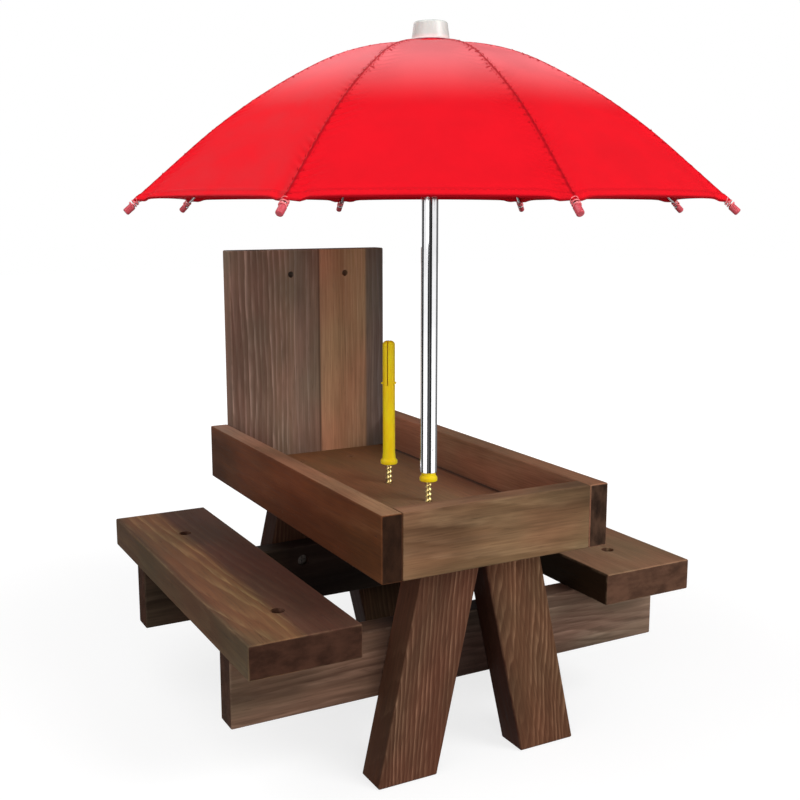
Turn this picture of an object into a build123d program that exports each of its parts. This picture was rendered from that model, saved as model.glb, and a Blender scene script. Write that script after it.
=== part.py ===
"""Small wooden picnic table feeder with a backboard, two benches and a folding umbrella.

Millimetres, +Z up, feet on Z = 0. The umbrella pole stands on the Z axis,
the front of the tray faces -Y and the backboard stands at +Y.
"""
from build123d import *
from math import cos, radians, sin, tan
import os

# Tray
tray_width = 140.0
tray_depth = 255.0
tray_underside = 120.0
rail_height = 35.5
rail_thickness = 12.0
floor_thickness = 12.0
backboard_height = 155.0
backboard_thickness = 12.0
wood_edge_round = 1.0

# Pegs and hanging holes share one line, right of the middle of the tray
fitting_line_offset = 7.0
umbrella_setback = 88.0
peg_spacing = 50.0
hanging_hole_diameter = 4.2
hanging_hole_spacing = 41.0
hanging_hole_drop = 17.0

# Benches and the beams that carry them
bench_length = 247.0
bench_width = 61.0
bench_thickness = 18.0
bench_top = 99.0
bench_gap = 7.0
bench_setback = 7.0
beam_height = 38.0
beam_thickness = 15.0
beam_end_inset = 1.0

# Legs, splayed boards cut level at top and bottom
leg_width = 35.0
leg_thickness = 20.0
leg_splay = 12.7
leg_top_gap = 1.2
front_leg_setback = 17.0
rear_leg_setback = 28.0

# Wood screws and brads
screw_shank_diameter = 3.6
screw_head_diameter = 7.0
screw_head_height = 2.4
screw_fit = 0.05
recess_width = 1.0
recess_length = 4.2
recess_depth = 1.4
counterbore_diameter = 7.6
counterbore_depth = 6.0
bench_screw_grip = 24.0
leg_screw_grip = 12.0
leg_screw_sink = 2.5
leg_screw_edge_distance = 10.0
floor_screw_grip = 22.0
brad_diameter = 1.4
brad_grip = 13.0
brad_end_distance = 50.0

# Pegs: a flanged plastic plug on a wood screw that comes up through the tray floor
peg_screw_diameter = 4.0
peg_screw_core_diameter = 2.8
peg_screw_head_diameter = 8.0
peg_screw_head_height = 2.4
peg_screw_pitch = 3.0
peg_standoff = 12.5
peg_diameter = 7.7
peg_length = 78.0
peg_bore_depth = 45.0
peg_running_clearance = 0.05
peg_top_round = 2.6
flange_diameter = 10.6
flange_rim_height = 2.3
flange_edge_round = 0.7
flange_flare_height = 1.3
collar_height = 3.8
collar_lip = 0.2
slit_width = 0.7
slit_depth = 28.0
slit_turn = -41.0
barb_drop = 25.0
barb_reach = 1.0
barb_height = 3.0
barb_width = 2.6

# Umbrella pole
pole_diameter = 9.8
pole_bore_diameter = 8.1
pole_seat_clearance = 0.1
pole_top_above_pivot = 9.0

# Umbrella frame: rib pivots on a wire ring in the crown, stretchers on one in the runner.
# The headroom from the backboard up to the rim lets the ribs fold down past the board.
rib_count = 8
rib_turn = -7.5
rib_diameter = 1.8
rim_headroom = 31.4
pivot_radius = 8.5
ring_wire_diameter = 1.1
eye_diameter = 3.0
eye_clearance = 0.12
hub_wall = 1.0
hub_rise = 1.5
hub_depth = 2.5
hub_slot_clearance = 0.3
ring_groove_clearance = 0.2
bore_fit = 0.03

# Canopy profile along a rib: a lead-in, two tangent arcs and a straight end
lead_in = 3.5
shoulder_slope = 2.0
middle_slope = 26.5
rim_slope = 41.0
shoulder_bend_radius = 130.0
middle_bend_radius = 330.0
canopy_rim_radius = 163.0
rib_overhang = 4.0
rim_scallop = 2.0
cloth_thickness = 0.5
cloth_lift = 1.8
cloth_overlap = 1.5
cloth_seam_gap = 0.15

# Rib tip caps
tip_cap_diameter = 3.8
tip_cap_length = 5.5
tip_cap_bore_depth = 3.0

# Stretchers and runner
stretcher_diameter = 1.6
stretcher_sideways = 3.0
stretcher_joint_radius = 80.0
stretcher_joint_drop = 1.2
stretcher_end_diameter = 2.4
runner_drop = 62.0
runner_clearance = 0.2
runner_wall = 1.5
runner_grip_length = 12.0
runner_foot_height = 3.0
rivet_diameter = 1.4
rivet_clearance = 0.3

# Rosette and cap on the top of the pole
rosette_radius = 13.5
rosette_thickness = 0.6
rosette_gap = 0.1
cap_skirt_diameter = 24.0
cap_skirt_height = 1.6
cap_base_diameter = 21.0
cap_top_diameter = 18.5
cap_height = 10.5
cap_edge_round = 1.5

# Places worked out from the sizes above
tray_middle_x = -fitting_line_offset
tray_front_y = -umbrella_setback
tray_rear_y = tray_front_y + tray_depth
inside_half_width = tray_width / 2 - rail_thickness
rail_top = tray_underside + rail_height
floor_top = tray_underside + floor_thickness
backboard_front_y = tray_rear_y - backboard_thickness
backboard_top = tray_underside + backboard_height
bench_underside = bench_top - bench_thickness
bench_inner_x = tray_width / 2 + bench_gap
bench_outer_x = bench_inner_x + bench_width
bench_middle_x = (bench_inner_x + bench_outer_x) / 2
beam_bottom = bench_underside - beam_height
front_leg_y = tray_front_y + front_leg_setback
front_beam_y = front_leg_y + leg_thickness
rear_leg_y = tray_rear_y - rear_leg_setback - leg_thickness
rear_beam_y = rear_leg_y - beam_thickness
leg_cut_width = leg_width / cos(radians(leg_splay))
peg_seat = floor_top + peg_standoff
collar_radius = pole_bore_diameter / 2 + collar_lip
collar_base = flange_rim_height + flange_flare_height
collar_top = collar_base + collar_height
pole_radius = pole_diameter / 2
rib_step = 360.0 / rib_count
half_step = rib_step / 2
eye_width = rib_diameter
hub_radius = pivot_radius + eye_diameter / 2 + hub_wall
cloth_inner_radius = hub_radius - cloth_overlap


def bend_points(start, bend_radius, slope_from, slope_to):
    """Middle and end of a downward bend that starts at a point with a slope."""
    points = []
    for slope in ((slope_from + slope_to) / 2, slope_to):
        run = bend_radius * (sin(radians(slope)) - sin(radians(slope_from)))
        fall = bend_radius * (cos(radians(slope_from)) - cos(radians(slope)))
        points.append((start[0] + run, start[1] - fall))
    return points


# Canopy profile along the middle of a rib, as radius and height above the rib pivots
shoulder = (pivot_radius + lead_in, -lead_in * tan(radians(shoulder_slope)))
first_bend_middle, first_bend_end = bend_points(shoulder, shoulder_bend_radius, shoulder_slope, middle_slope)
second_bend_middle, second_bend_end = bend_points(first_bend_end, middle_bend_radius, middle_slope, rim_slope)


def straight_end(radius):
    """Point on the straight outer run of the profile at a radius."""
    fall = (radius - second_bend_end[0]) * tan(radians(rim_slope))
    return (radius, second_bend_end[1] - fall)


def second_bend_height(radius):
    """Height above the rib pivots of the middle of a rib on its second bend."""
    slope_sine = sin(radians(middle_slope)) + (radius - first_bend_end[0]) / middle_bend_radius
    fall = middle_bend_radius * (cos(radians(middle_slope)) - (1 - slope_sine ** 2) ** 0.5)
    return first_bend_end[1] - fall


rib_pivot_height = backboard_top + rim_headroom - straight_end(canopy_rim_radius)[1]
runner_pivot_height = rib_pivot_height - runner_drop
cloth_top = rib_pivot_height + cloth_lift + cloth_thickness

parts = {}


def span_box(x_range, y_range, z_range):
    """Box between two limits on each axis."""
    lengths = [high - low for low, high in (x_range, y_range, z_range)]
    middles = [(high + low) / 2 for low, high in (x_range, y_range, z_range)]
    return Pos(*middles) * Box(*lengths)


def board(x_range, y_range, z_range):
    """Sawn board with eased edges."""
    block = span_box(x_range, y_range, z_range)
    return fillet(block.edges(), wood_edge_round)


def rod(start, end, radius):
    """Round rod from one point to another."""
    start, end = Vector(*start), Vector(*end)
    axis = end - start
    return extrude(Plane(start, z_dir=axis) * Circle(radius), axis.length)


def wood_screw(head_point, direction, length):
    """Countersunk screw with a cross recess: the flat of its head at head_point."""
    shank_radius = screw_shank_diameter / 2
    head_radius = screw_head_diameter / 2
    with_head = Polyline(
        (0, 0), (head_radius, 0), (shank_radius, screw_head_height),
        (shank_radius, length - screw_shank_diameter), (0, length), close=True,
    )
    body = revolve(Plane.XZ * make_face(with_head), Axis.Z)
    for turn in (0, 90):
        slot = Box(recess_length, recess_width, 2 * recess_depth)
        body -= Rot(0, 0, turn) * slot
    return Plane(head_point, z_dir=direction) * body


def screw_hole(head_point, direction, length, sunk=0.0):
    """Hole for such a screw, with a counterbore of depth sunk over the head."""
    shank_radius = screw_shank_diameter / 2 + screw_fit
    head_radius = screw_head_diameter / 2 + screw_fit
    head_height = screw_head_height + screw_fit
    outline = Polyline(
        (0, 0), (head_radius, 0), (shank_radius, head_height),
        (shank_radius, length), (0, length + screw_fit), close=True,
    )
    hole = revolve(Plane.XZ * make_face(outline), Axis.Z)
    if sunk > 0:
        bore_align = (Align.CENTER, Align.CENTER, Align.MAX)
        hole += Cylinder(counterbore_diameter / 2, sunk, align=bore_align)
    return Plane(head_point, z_dir=direction) * hole


# Screw and brad places
side_signs = {"left": -1, "right": 1}
leg_rows = {"front": (front_leg_y, front_beam_y), "rear": (rear_leg_y, rear_beam_y)}

bench_screw_heads = [
    (tray_middle_x + sign * bench_middle_x, beam_y + beam_thickness / 2, bench_top - counterbore_depth)
    for sign in side_signs.values()
    for _, beam_y in leg_rows.values()
]
bench_screw_length = bench_thickness - counterbore_depth + bench_screw_grip


def leg_middle_x(height):
    """Distance from the middle of the tray to the middle of a leg at a height."""
    lean = (tray_underside - height) * tan(radians(leg_splay))
    return leg_top_gap / 2 + leg_cut_width / 2 + lean


# Leg screws come through the free face of each beam into the leg, their heads a little below it
leg_screw_heights = (beam_bottom + leg_screw_edge_distance, bench_underside - leg_screw_edge_distance)
leg_screw_heads = []
for row, (leg_y, beam_y) in leg_rows.items():
    free_face_y = beam_y + beam_thickness if row == "front" else beam_y
    inward = (0, -1, 0) if row == "front" else (0, 1, 0)
    for sign in side_signs.values():
        for height in leg_screw_heights:
            head_y = free_face_y + inward[1] * leg_screw_sink
            place = (tray_middle_x + sign * leg_middle_x(height), head_y, height)
            leg_screw_heads.append((place, inward))
leg_screw_length = beam_thickness - leg_screw_sink + leg_screw_grip

floor_screw_heads = [
    (tray_middle_x + sign * leg_middle_x(tray_underside), leg_y + leg_thickness / 2, floor_top)
    for sign in side_signs.values()
    for leg_y, _ in leg_rows.values()
]
floor_screw_length = floor_thickness + floor_screw_grip

# Brads through the side rails: into the floor, the front rail and the backboard
brad_floor_height = tray_underside + floor_thickness / 2
brad_rail_height = (floor_top + rail_top) / 2
brad_rows = [
    (tray_front_y + brad_end_distance, brad_floor_height),
    ((tray_front_y + tray_rear_y) / 2, brad_floor_height),
    (tray_rear_y - brad_end_distance, brad_floor_height),
    (tray_front_y + rail_thickness / 2, brad_rail_height),
    ((backboard_front_y + tray_rear_y) / 2, brad_rail_height),
]
brad_length = rail_thickness + brad_grip


def brad_rods(radius, depth):
    """Rods at every brad place, from the outer face of each rail inwards."""
    rods = []
    for sign in side_signs.values():
        outer_x = tray_middle_x + sign * tray_width / 2
        inner_x = outer_x - sign * depth
        for place_y, place_z in brad_rows:
            rods.append(rod((outer_x, place_y, place_z), (inner_x, place_y, place_z), radius))
    return rods


brad_holes = brad_rods(brad_diameter / 2 + screw_fit, brad_length + screw_fit)

# Tray
inside_x = (tray_middle_x - inside_half_width, tray_middle_x + inside_half_width)
rail_z = (tray_underside, rail_top)
full_y = (tray_front_y, tray_rear_y)
left_rail_x = (tray_middle_x - tray_width / 2, inside_x[0])
right_rail_x = (inside_x[1], tray_middle_x + tray_width / 2)
front_rail_y = (tray_front_y, tray_front_y + rail_thickness)
floor_y = (front_rail_y[1], backboard_front_y)

floor_board = board(inside_x, floor_y, (tray_underside, floor_top))
peg_places = {"umbrella_peg": 0.0, "corn_peg": peg_spacing}
for peg_y in peg_places.values():
    floor_board -= rod((0, peg_y, tray_underside), (0, peg_y, floor_top), peg_screw_diameter / 2 + screw_fit)
    sink_radius = peg_screw_head_diameter / 2 + screw_fit
    sink = Cone(sink_radius, peg_screw_diameter / 2 + screw_fit, peg_screw_head_height + screw_fit,
                align=(Align.CENTER, Align.CENTER, Align.MIN))
    floor_board -= Pos(0, peg_y, tray_underside) * sink
for head in floor_screw_heads:
    floor_board -= screw_hole(head, (0, 0, -1), floor_screw_length)
parts["tray_floor"] = floor_board - brad_holes

parts["left_tray_rail"] = board(left_rail_x, full_y, rail_z) - brad_holes
parts["right_tray_rail"] = board(right_rail_x, full_y, rail_z) - brad_holes
parts["front_tray_rail"] = board(inside_x, front_rail_y, rail_z) - brad_holes

back = board(inside_x, (backboard_front_y, tray_rear_y), (tray_underside, backboard_top)) - brad_holes
for side in side_signs.values():
    hole_x = side * hanging_hole_spacing / 2
    hole_z = backboard_top - hanging_hole_drop
    back -= rod((hole_x, backboard_front_y, hole_z), (hole_x, tray_rear_y, hole_z), hanging_hole_diameter / 2)
parts["backboard"] = back

# Benches
bench_y = (tray_front_y + bench_setback, tray_front_y + bench_setback + bench_length)
bench_screw_holes = [
    screw_hole(head, (0, 0, -1), bench_screw_length, counterbore_depth) for head in bench_screw_heads
]
for side, sign in side_signs.items():
    edges_x = sorted(tray_middle_x + sign * edge for edge in (bench_inner_x, bench_outer_x))
    seat = board(edges_x, bench_y, (bench_underside, bench_top))
    parts[f"{side}_bench_seat"] = seat - bench_screw_holes

# Cross beams and legs
leg_screw_holes = [
    screw_hole(place, inward, leg_screw_length, leg_screw_sink) for place, inward in leg_screw_heads
]
floor_screw_holes = [screw_hole(head, (0, 0, -1), floor_screw_length) for head in floor_screw_heads]
beam_half_length = bench_outer_x - beam_end_inset
beam_x = (tray_middle_x - beam_half_length, tray_middle_x + beam_half_length)
for row, (leg_y, beam_y) in leg_rows.items():
    beam = board(beam_x, (beam_y, beam_y + beam_thickness), (beam_bottom, bench_underside))
    parts[f"{row}_cross_beam"] = beam - leg_screw_holes - bench_screw_holes
    for side, sign in side_signs.items():
        top_inner = leg_top_gap / 2
        foot_inner = top_inner + tray_underside * tan(radians(leg_splay))
        corners = [
            (top_inner, tray_underside), (top_inner + leg_cut_width, tray_underside),
            (foot_inner + leg_cut_width, 0), (foot_inner, 0),
        ]
        outline = [(tray_middle_x + sign * x, leg_y, z) for x, z in corners]
        leg = extrude(make_face(Polyline(*outline, close=True)), leg_thickness, dir=(0, 1, 0))
        leg = fillet(leg.edges(), wood_edge_round)
        parts[f"{row}_{side}_leg"] = leg - leg_screw_holes - floor_screw_holes

# Fasteners, each kind a group of separate solids
parts["bench_screws"] = [wood_screw(head, (0, 0, -1), bench_screw_length) for head in bench_screw_heads]
parts["leg_screws"] = [wood_screw(place, inward, leg_screw_length) for place, inward in leg_screw_heads]
parts["floor_screws"] = [wood_screw(head, (0, 0, -1), floor_screw_length) for head in floor_screw_heads]
parts["rail_brads"] = brad_rods(brad_diameter / 2, brad_length)


def peg_screw(peg_y):
    """Wood screw with its head under the floor and an open thread below the peg."""
    crest = peg_screw_diameter / 2
    core = peg_screw_core_diameter / 2
    head = peg_screw_head_diameter / 2
    tip_z = peg_seat + peg_bore_depth - peg_screw_diameter
    outline = [(0, tray_underside), (head, tray_underside), (crest, tray_underside + peg_screw_head_height),
               (crest, floor_top)]
    thread_turns = int(peg_standoff // peg_screw_pitch)
    for turn in range(thread_turns):
        root_z = floor_top + turn * peg_screw_pitch
        outline.append((core, root_z + peg_screw_pitch / 4))
        outline.append((core, root_z + peg_screw_pitch / 2))
        outline.append((crest, root_z + peg_screw_pitch))
    outline += [(crest, tip_z - peg_screw_diameter), (0, tip_z)]
    screw = revolve(Plane.XZ * make_face(Polyline(*outline, close=True)), Axis.Z)
    return Pos(0, peg_y, 0) * screw


parts["peg_screws"] = [peg_screw(peg_y) for peg_y in peg_places.values()]


def peg_plug(with_barbs):
    """Flanged plastic plug with a tapered collar, split at its rounded top, its seat at Z = 0."""
    radius = peg_diameter / 2
    flange_radius = flange_diameter / 2
    profile = make_face(Polyline(
        (0, 0), (flange_radius, 0), (flange_radius, flange_rim_height), (collar_radius, collar_base),
        (radius, collar_top), (radius, peg_length), (0, peg_length), close=True,
    ))
    plug = revolve(Plane.XZ * profile, Axis.Z)
    rim_edges = plug.edges().filter_by(GeomType.CIRCLE).group_by(SortBy.RADIUS)[-1]
    plug = fillet(rim_edges, flange_edge_round)
    plug = fillet(plug.edges().group_by(Axis.Z)[-1], peg_top_round)
    plug -= Cylinder(peg_screw_diameter / 2 + peg_running_clearance, peg_bore_depth,
                     align=(Align.CENTER, Align.CENTER, Align.MIN))
    if with_barbs:
        barb_base = peg_length - barb_drop - barb_height
        barb_root = radius - barb_reach
        wedge = Polyline((barb_root, barb_base), (radius + barb_reach, barb_base + barb_height / 2),
                         (barb_root, barb_base + barb_height), close=True)
        for turn in (0, 180):
            wing = extrude(Plane.XZ * make_face(wedge), barb_width / 2, both=True)
            plug += Rot(0, 0, turn) * wing
    slit = span_box((-slit_width / 2, slit_width / 2), (-peg_diameter, peg_diameter),
                    (peg_length - slit_depth, peg_length))
    return Rot(0, 0, slit_turn) * (plug - slit)


for node, peg_y in peg_places.items():
    parts[node] = Pos(0, peg_y, peg_seat) * peg_plug(with_barbs=node == "corn_peg")

# Pole: its bore rests on the tapered collar of the peg
taper_drop = collar_height * (pole_bore_diameter - peg_diameter) / (2 * collar_radius - peg_diameter)
pole_bottom = peg_seat + collar_top - taper_drop + pole_seat_clearance
pole_top = rib_pivot_height + pole_top_above_pivot
tube = rod((0, 0, pole_bottom), (0, 0, pole_top), pole_radius)
parts["umbrella_pole"] = tube - rod((0, 0, pole_bottom), (0, 0, pole_top), pole_bore_diameter / 2)


def notched_hub(pivot_z, bore_radius):
    """Slotted disc whose groove holds the pivot ring, one slot for each eye."""
    low, high = pivot_z - hub_depth, pivot_z + hub_rise
    hub = rod((0, 0, low), (0, 0, high), hub_radius)
    slot_inner = pivot_radius - eye_diameter / 2 - hub_slot_clearance
    slot_half = eye_width / 2 + hub_slot_clearance
    for index in range(rib_count):
        slot = span_box((slot_inner, 2 * hub_radius), (-slot_half, slot_half), (low, high))
        hub -= Rot(0, 0, rib_turn + index * rib_step) * slot
    groove_half = ring_wire_diameter / 2 + ring_groove_clearance
    groove_low, groove_high = (0, 0, pivot_z - groove_half), (0, 0, pivot_z + groove_half)
    groove = rod(groove_low, groove_high, 2 * hub_radius)
    hub -= groove - rod(groove_low, groove_high, pivot_radius - groove_half)
    return hub - rod((0, 0, low), (0, 0, high), bore_radius)


def pivot_ring(pivot_z):
    """Wire ring that all the eyes of one hub turn on."""
    return Pos(0, 0, pivot_z) * Torus(pivot_radius, ring_wire_diameter / 2)


def bored_eye(plain, pivot_z):
    """Wire end with a round eye about the ring, in the plane of the first rib."""
    eye_half = eye_width / 2
    middle = (pivot_radius, -eye_half, pivot_z), (pivot_radius, eye_half, pivot_z)
    bored = plain + rod(*middle, eye_diameter / 2)
    return bored - rod(*middle, ring_wire_diameter / 2 + eye_clearance)


parts["umbrella_crown"] = notched_hub(rib_pivot_height, pole_radius + bore_fit)
parts["crown_ring"] = pivot_ring(rib_pivot_height)

def rib_with_cap():
    """Rib along +X with its eye, and the cap on its tip."""
    tip = straight_end(canopy_rim_radius + rib_overhang)

    def at(point):
        return (point[0], 0, rib_pivot_height + point[1])

    path = Wire([
        Line((pivot_radius, 0, rib_pivot_height), at(shoulder)),
        ThreePointArc(at(shoulder), at(first_bend_middle), at(first_bend_end)),
        ThreePointArc(at(first_bend_end), at(second_bend_middle), at(second_bend_end)),
        Line(at(second_bend_end), at(tip)),
    ])
    start_plane = Plane(path @ 0, z_dir=path % 0)
    wire = sweep(start_plane * Circle(rib_diameter / 2), path=path)
    rib = bored_eye(wire, rib_pivot_height)
    outward = Vector(cos(radians(rim_slope)), 0, -sin(radians(rim_slope)))
    base = Vector(*at(tip)) - outward * tip_cap_bore_depth
    cap = Cylinder(tip_cap_diameter / 2, tip_cap_length, align=(Align.CENTER, Align.CENTER, Align.MIN))
    cap = fillet(cap.edges(), tip_cap_diameter / 5)
    cap -= Cylinder(rib_diameter / 2 + bore_fit, tip_cap_bore_depth + bore_fit,
                    align=(Align.CENTER, Align.CENTER, Align.MIN))
    return rib, Plane(base, z_dir=outward) * cap


def cloth_section(turn, shrink, rim_radius, seam_side):
    """Thin upright section of the cloth on a plane through the pole, off it by the seam gap."""
    along = Vector(cos(radians(turn)), sin(radians(turn)), 0)
    seam = Vector(-sin(radians(turn)), cos(radians(turn)), 0) * (seam_side * cloth_seam_gap)

    def place(point, lift):
        return along * (point[0] * shrink) + seam + Vector(0, 0, rib_pivot_height + point[1] + lift)

    inner = (cloth_inner_radius, 0)
    rim = straight_end(rim_radius)
    runs = []
    for lift in (cloth_lift, cloth_lift + cloth_thickness):
        edges = [
            Line(place(inner, lift), place(shoulder, lift)),
            ThreePointArc(*[place(p, lift) for p in (shoulder, first_bend_middle, first_bend_end)]),
            ThreePointArc(*[place(p, lift) for p in (first_bend_end, second_bend_middle, second_bend_end)]),
            Line(place(second_bend_end, lift), place(rim, lift)),
        ]
        runs.append(edges)
    low, high = runs
    ends = [Line(low[0] @ 0, high[0] @ 0), Line(low[-1] @ 1, high[-1] @ 1)]
    return make_face(low + high + ends)


def half_gore():
    """Half of a gore, from the first rib to the middle line of its gore."""
    at_rib = cloth_section(0, 1.0, canopy_rim_radius, 1)
    middle_shrink = cos(radians(half_step))
    at_middle = cloth_section(half_step, middle_shrink, canopy_rim_radius - rim_scallop, -1)
    return loft([at_rib, at_middle], ruled=True)


def stretcher():
    """Stretcher wire from its eye on the runner to the side of the rib, with a rivet stub."""
    joint_height = rib_pivot_height + second_bend_height(stretcher_joint_radius) - stretcher_joint_drop
    start = Vector(pivot_radius, 0, runner_pivot_height)
    end = Vector(stretcher_joint_radius, stretcher_sideways, joint_height)
    wire = rod(start, end, stretcher_diameter / 2)
    arm = bored_eye(wire, runner_pivot_height)
    rivet_inner = rib_diameter / 2 + rivet_clearance
    flat_half = stretcher_diameter / 2
    flat_inner = (end.X, stretcher_sideways - flat_half, end.Z)
    flat_outer = (end.X, stretcher_sideways + flat_half, end.Z)
    arm += rod(flat_inner, flat_outer, stretcher_end_diameter / 2)
    return arm + rod((end.X, rivet_inner, end.Z), flat_outer, rivet_diameter / 2)


rib, tip_cap = rib_with_cap()
first_half = half_gore()
second_half = mirror(first_half, about=Plane.XZ)
arm = stretcher()
for index in range(rib_count):
    place = Rot(0, 0, rib_turn + index * rib_step)
    number = index + 1
    last_gore = rib_count if index == 0 else index
    parts[f"rib_{number}"] = [place * rib, place * tip_cap]
    parts[f"stretcher_{number}"] = place * arm
    parts[f"canopy_gore_{number}_left"] = place * first_half
    parts[f"canopy_gore_{last_gore}_right"] = place * second_half

# Runner
runner_bore = pole_radius + runner_clearance
runner_low = runner_pivot_height - hub_depth - runner_grip_length
grip = rod((0, 0, runner_low), (0, 0, runner_pivot_height - hub_depth), runner_bore + runner_wall)
foot = rod((0, 0, runner_low), (0, 0, runner_low + runner_foot_height), runner_bore + 2 * runner_wall)
sleeve = grip + foot
sleeve -= rod((0, 0, runner_low), (0, 0, runner_pivot_height), runner_bore)
parts["umbrella_runner"] = sleeve + notched_hub(runner_pivot_height, runner_bore)
parts["runner_ring"] = pivot_ring(runner_pivot_height)

# Rosette of cloth and moulded cap over the crown
rosette_low = cloth_top + rosette_gap
rosette_high = rosette_low + rosette_thickness
rosette = rod((0, 0, rosette_low), (0, 0, rosette_high), rosette_radius)
parts["top_rosette"] = rosette - rod((0, 0, rosette_low), (0, 0, rosette_high), pole_radius + bore_fit)

skirt_high = rosette_high + cap_skirt_height
cap_outline = make_face(Polyline(
    (0, rosette_high), (cap_skirt_diameter / 2, rosette_high), (cap_base_diameter / 2, skirt_high),
    (cap_top_diameter / 2, rosette_high + cap_height), (0, rosette_high + cap_height), close=True,
))
top_cap = revolve(Plane.XZ * cap_outline, Axis.Z)
top_cap = fillet(top_cap.edges().group_by(Axis.Z)[-1], cap_edge_round)
top_cap -= rod((0, 0, rosette_high), (0, 0, pole_top + bore_fit), pole_radius + bore_fit)
parts["umbrella_cap"] = top_cap

os.makedirs("parts", exist_ok=True)
for node, shape in parts.items():
    pieces = shape if isinstance(shape, list) else [shape]
    solids = [solid for piece in pieces for solid in piece.solids()]
    export_step(Compound(children=solids), f"parts/{node}.step")
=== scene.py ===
"""Looks of the small picnic table feeder: stained boards, plated fasteners, yellow pegs, a red umbrella."""
import logging
from contextlib import contextmanager
from dataclasses import dataclass, field, replace
from enum import Enum
from math import cos, exp, pi, radians, sin, tan
from typing import Callable, Iterator, NamedTuple, Sequence, Union

import bpy
from mathutils import Matrix, Vector


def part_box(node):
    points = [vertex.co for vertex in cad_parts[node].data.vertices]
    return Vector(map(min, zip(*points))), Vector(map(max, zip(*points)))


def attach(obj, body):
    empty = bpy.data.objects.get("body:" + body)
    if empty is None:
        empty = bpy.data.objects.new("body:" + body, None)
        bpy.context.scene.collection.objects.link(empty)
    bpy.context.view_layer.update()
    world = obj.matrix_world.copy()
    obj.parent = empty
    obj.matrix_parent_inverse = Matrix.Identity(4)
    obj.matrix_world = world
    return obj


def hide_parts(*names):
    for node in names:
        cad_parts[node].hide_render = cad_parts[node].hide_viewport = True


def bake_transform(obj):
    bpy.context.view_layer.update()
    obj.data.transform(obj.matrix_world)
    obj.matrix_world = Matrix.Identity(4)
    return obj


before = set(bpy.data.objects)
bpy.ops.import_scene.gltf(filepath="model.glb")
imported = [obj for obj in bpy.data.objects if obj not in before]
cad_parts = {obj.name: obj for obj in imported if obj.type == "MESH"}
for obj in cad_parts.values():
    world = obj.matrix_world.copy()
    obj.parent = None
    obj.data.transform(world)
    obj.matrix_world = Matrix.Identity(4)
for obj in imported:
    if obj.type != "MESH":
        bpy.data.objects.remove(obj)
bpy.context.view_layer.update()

log = logging.getLogger("picnic_table_feeder")

Piece = bpy.types.Object
Material = bpy.types.Material
Socket = bpy.types.NodeSocket
Colour = tuple[float, float, float]
Range = tuple[float, float]
Span = tuple[float, float, float, float]
Feed = Union[Socket, float, Sequence[float]]

LEG_WIDTH = 0.035
LEG_LEAN = radians(12.7)
RIB_COUNT = 8
WHITE: Colour = (1.0, 1.0, 1.0)
UP: Colour = (0.0, 0.0, 1.0)


class Grain(Enum):
    """How a board lies: its grain direction, then its width direction, as rows of frame axes."""

    ALONG_X_UPRIGHT = ((1, 0, 0), (0, 0, 1))
    ALONG_Y_UPRIGHT = ((0, 1, 0), (0, 0, 1))
    ALONG_Y_FLAT = ((0, 1, 0), (1, 0, 0))
    ALONG_Z_UPRIGHT = ((0, 0, 1), (1, 0, 0))


class Side(Enum):
    """The two halves of a gore, by the side of their rib that they lie on."""

    LEFT = 1
    RIGHT = -1


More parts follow.
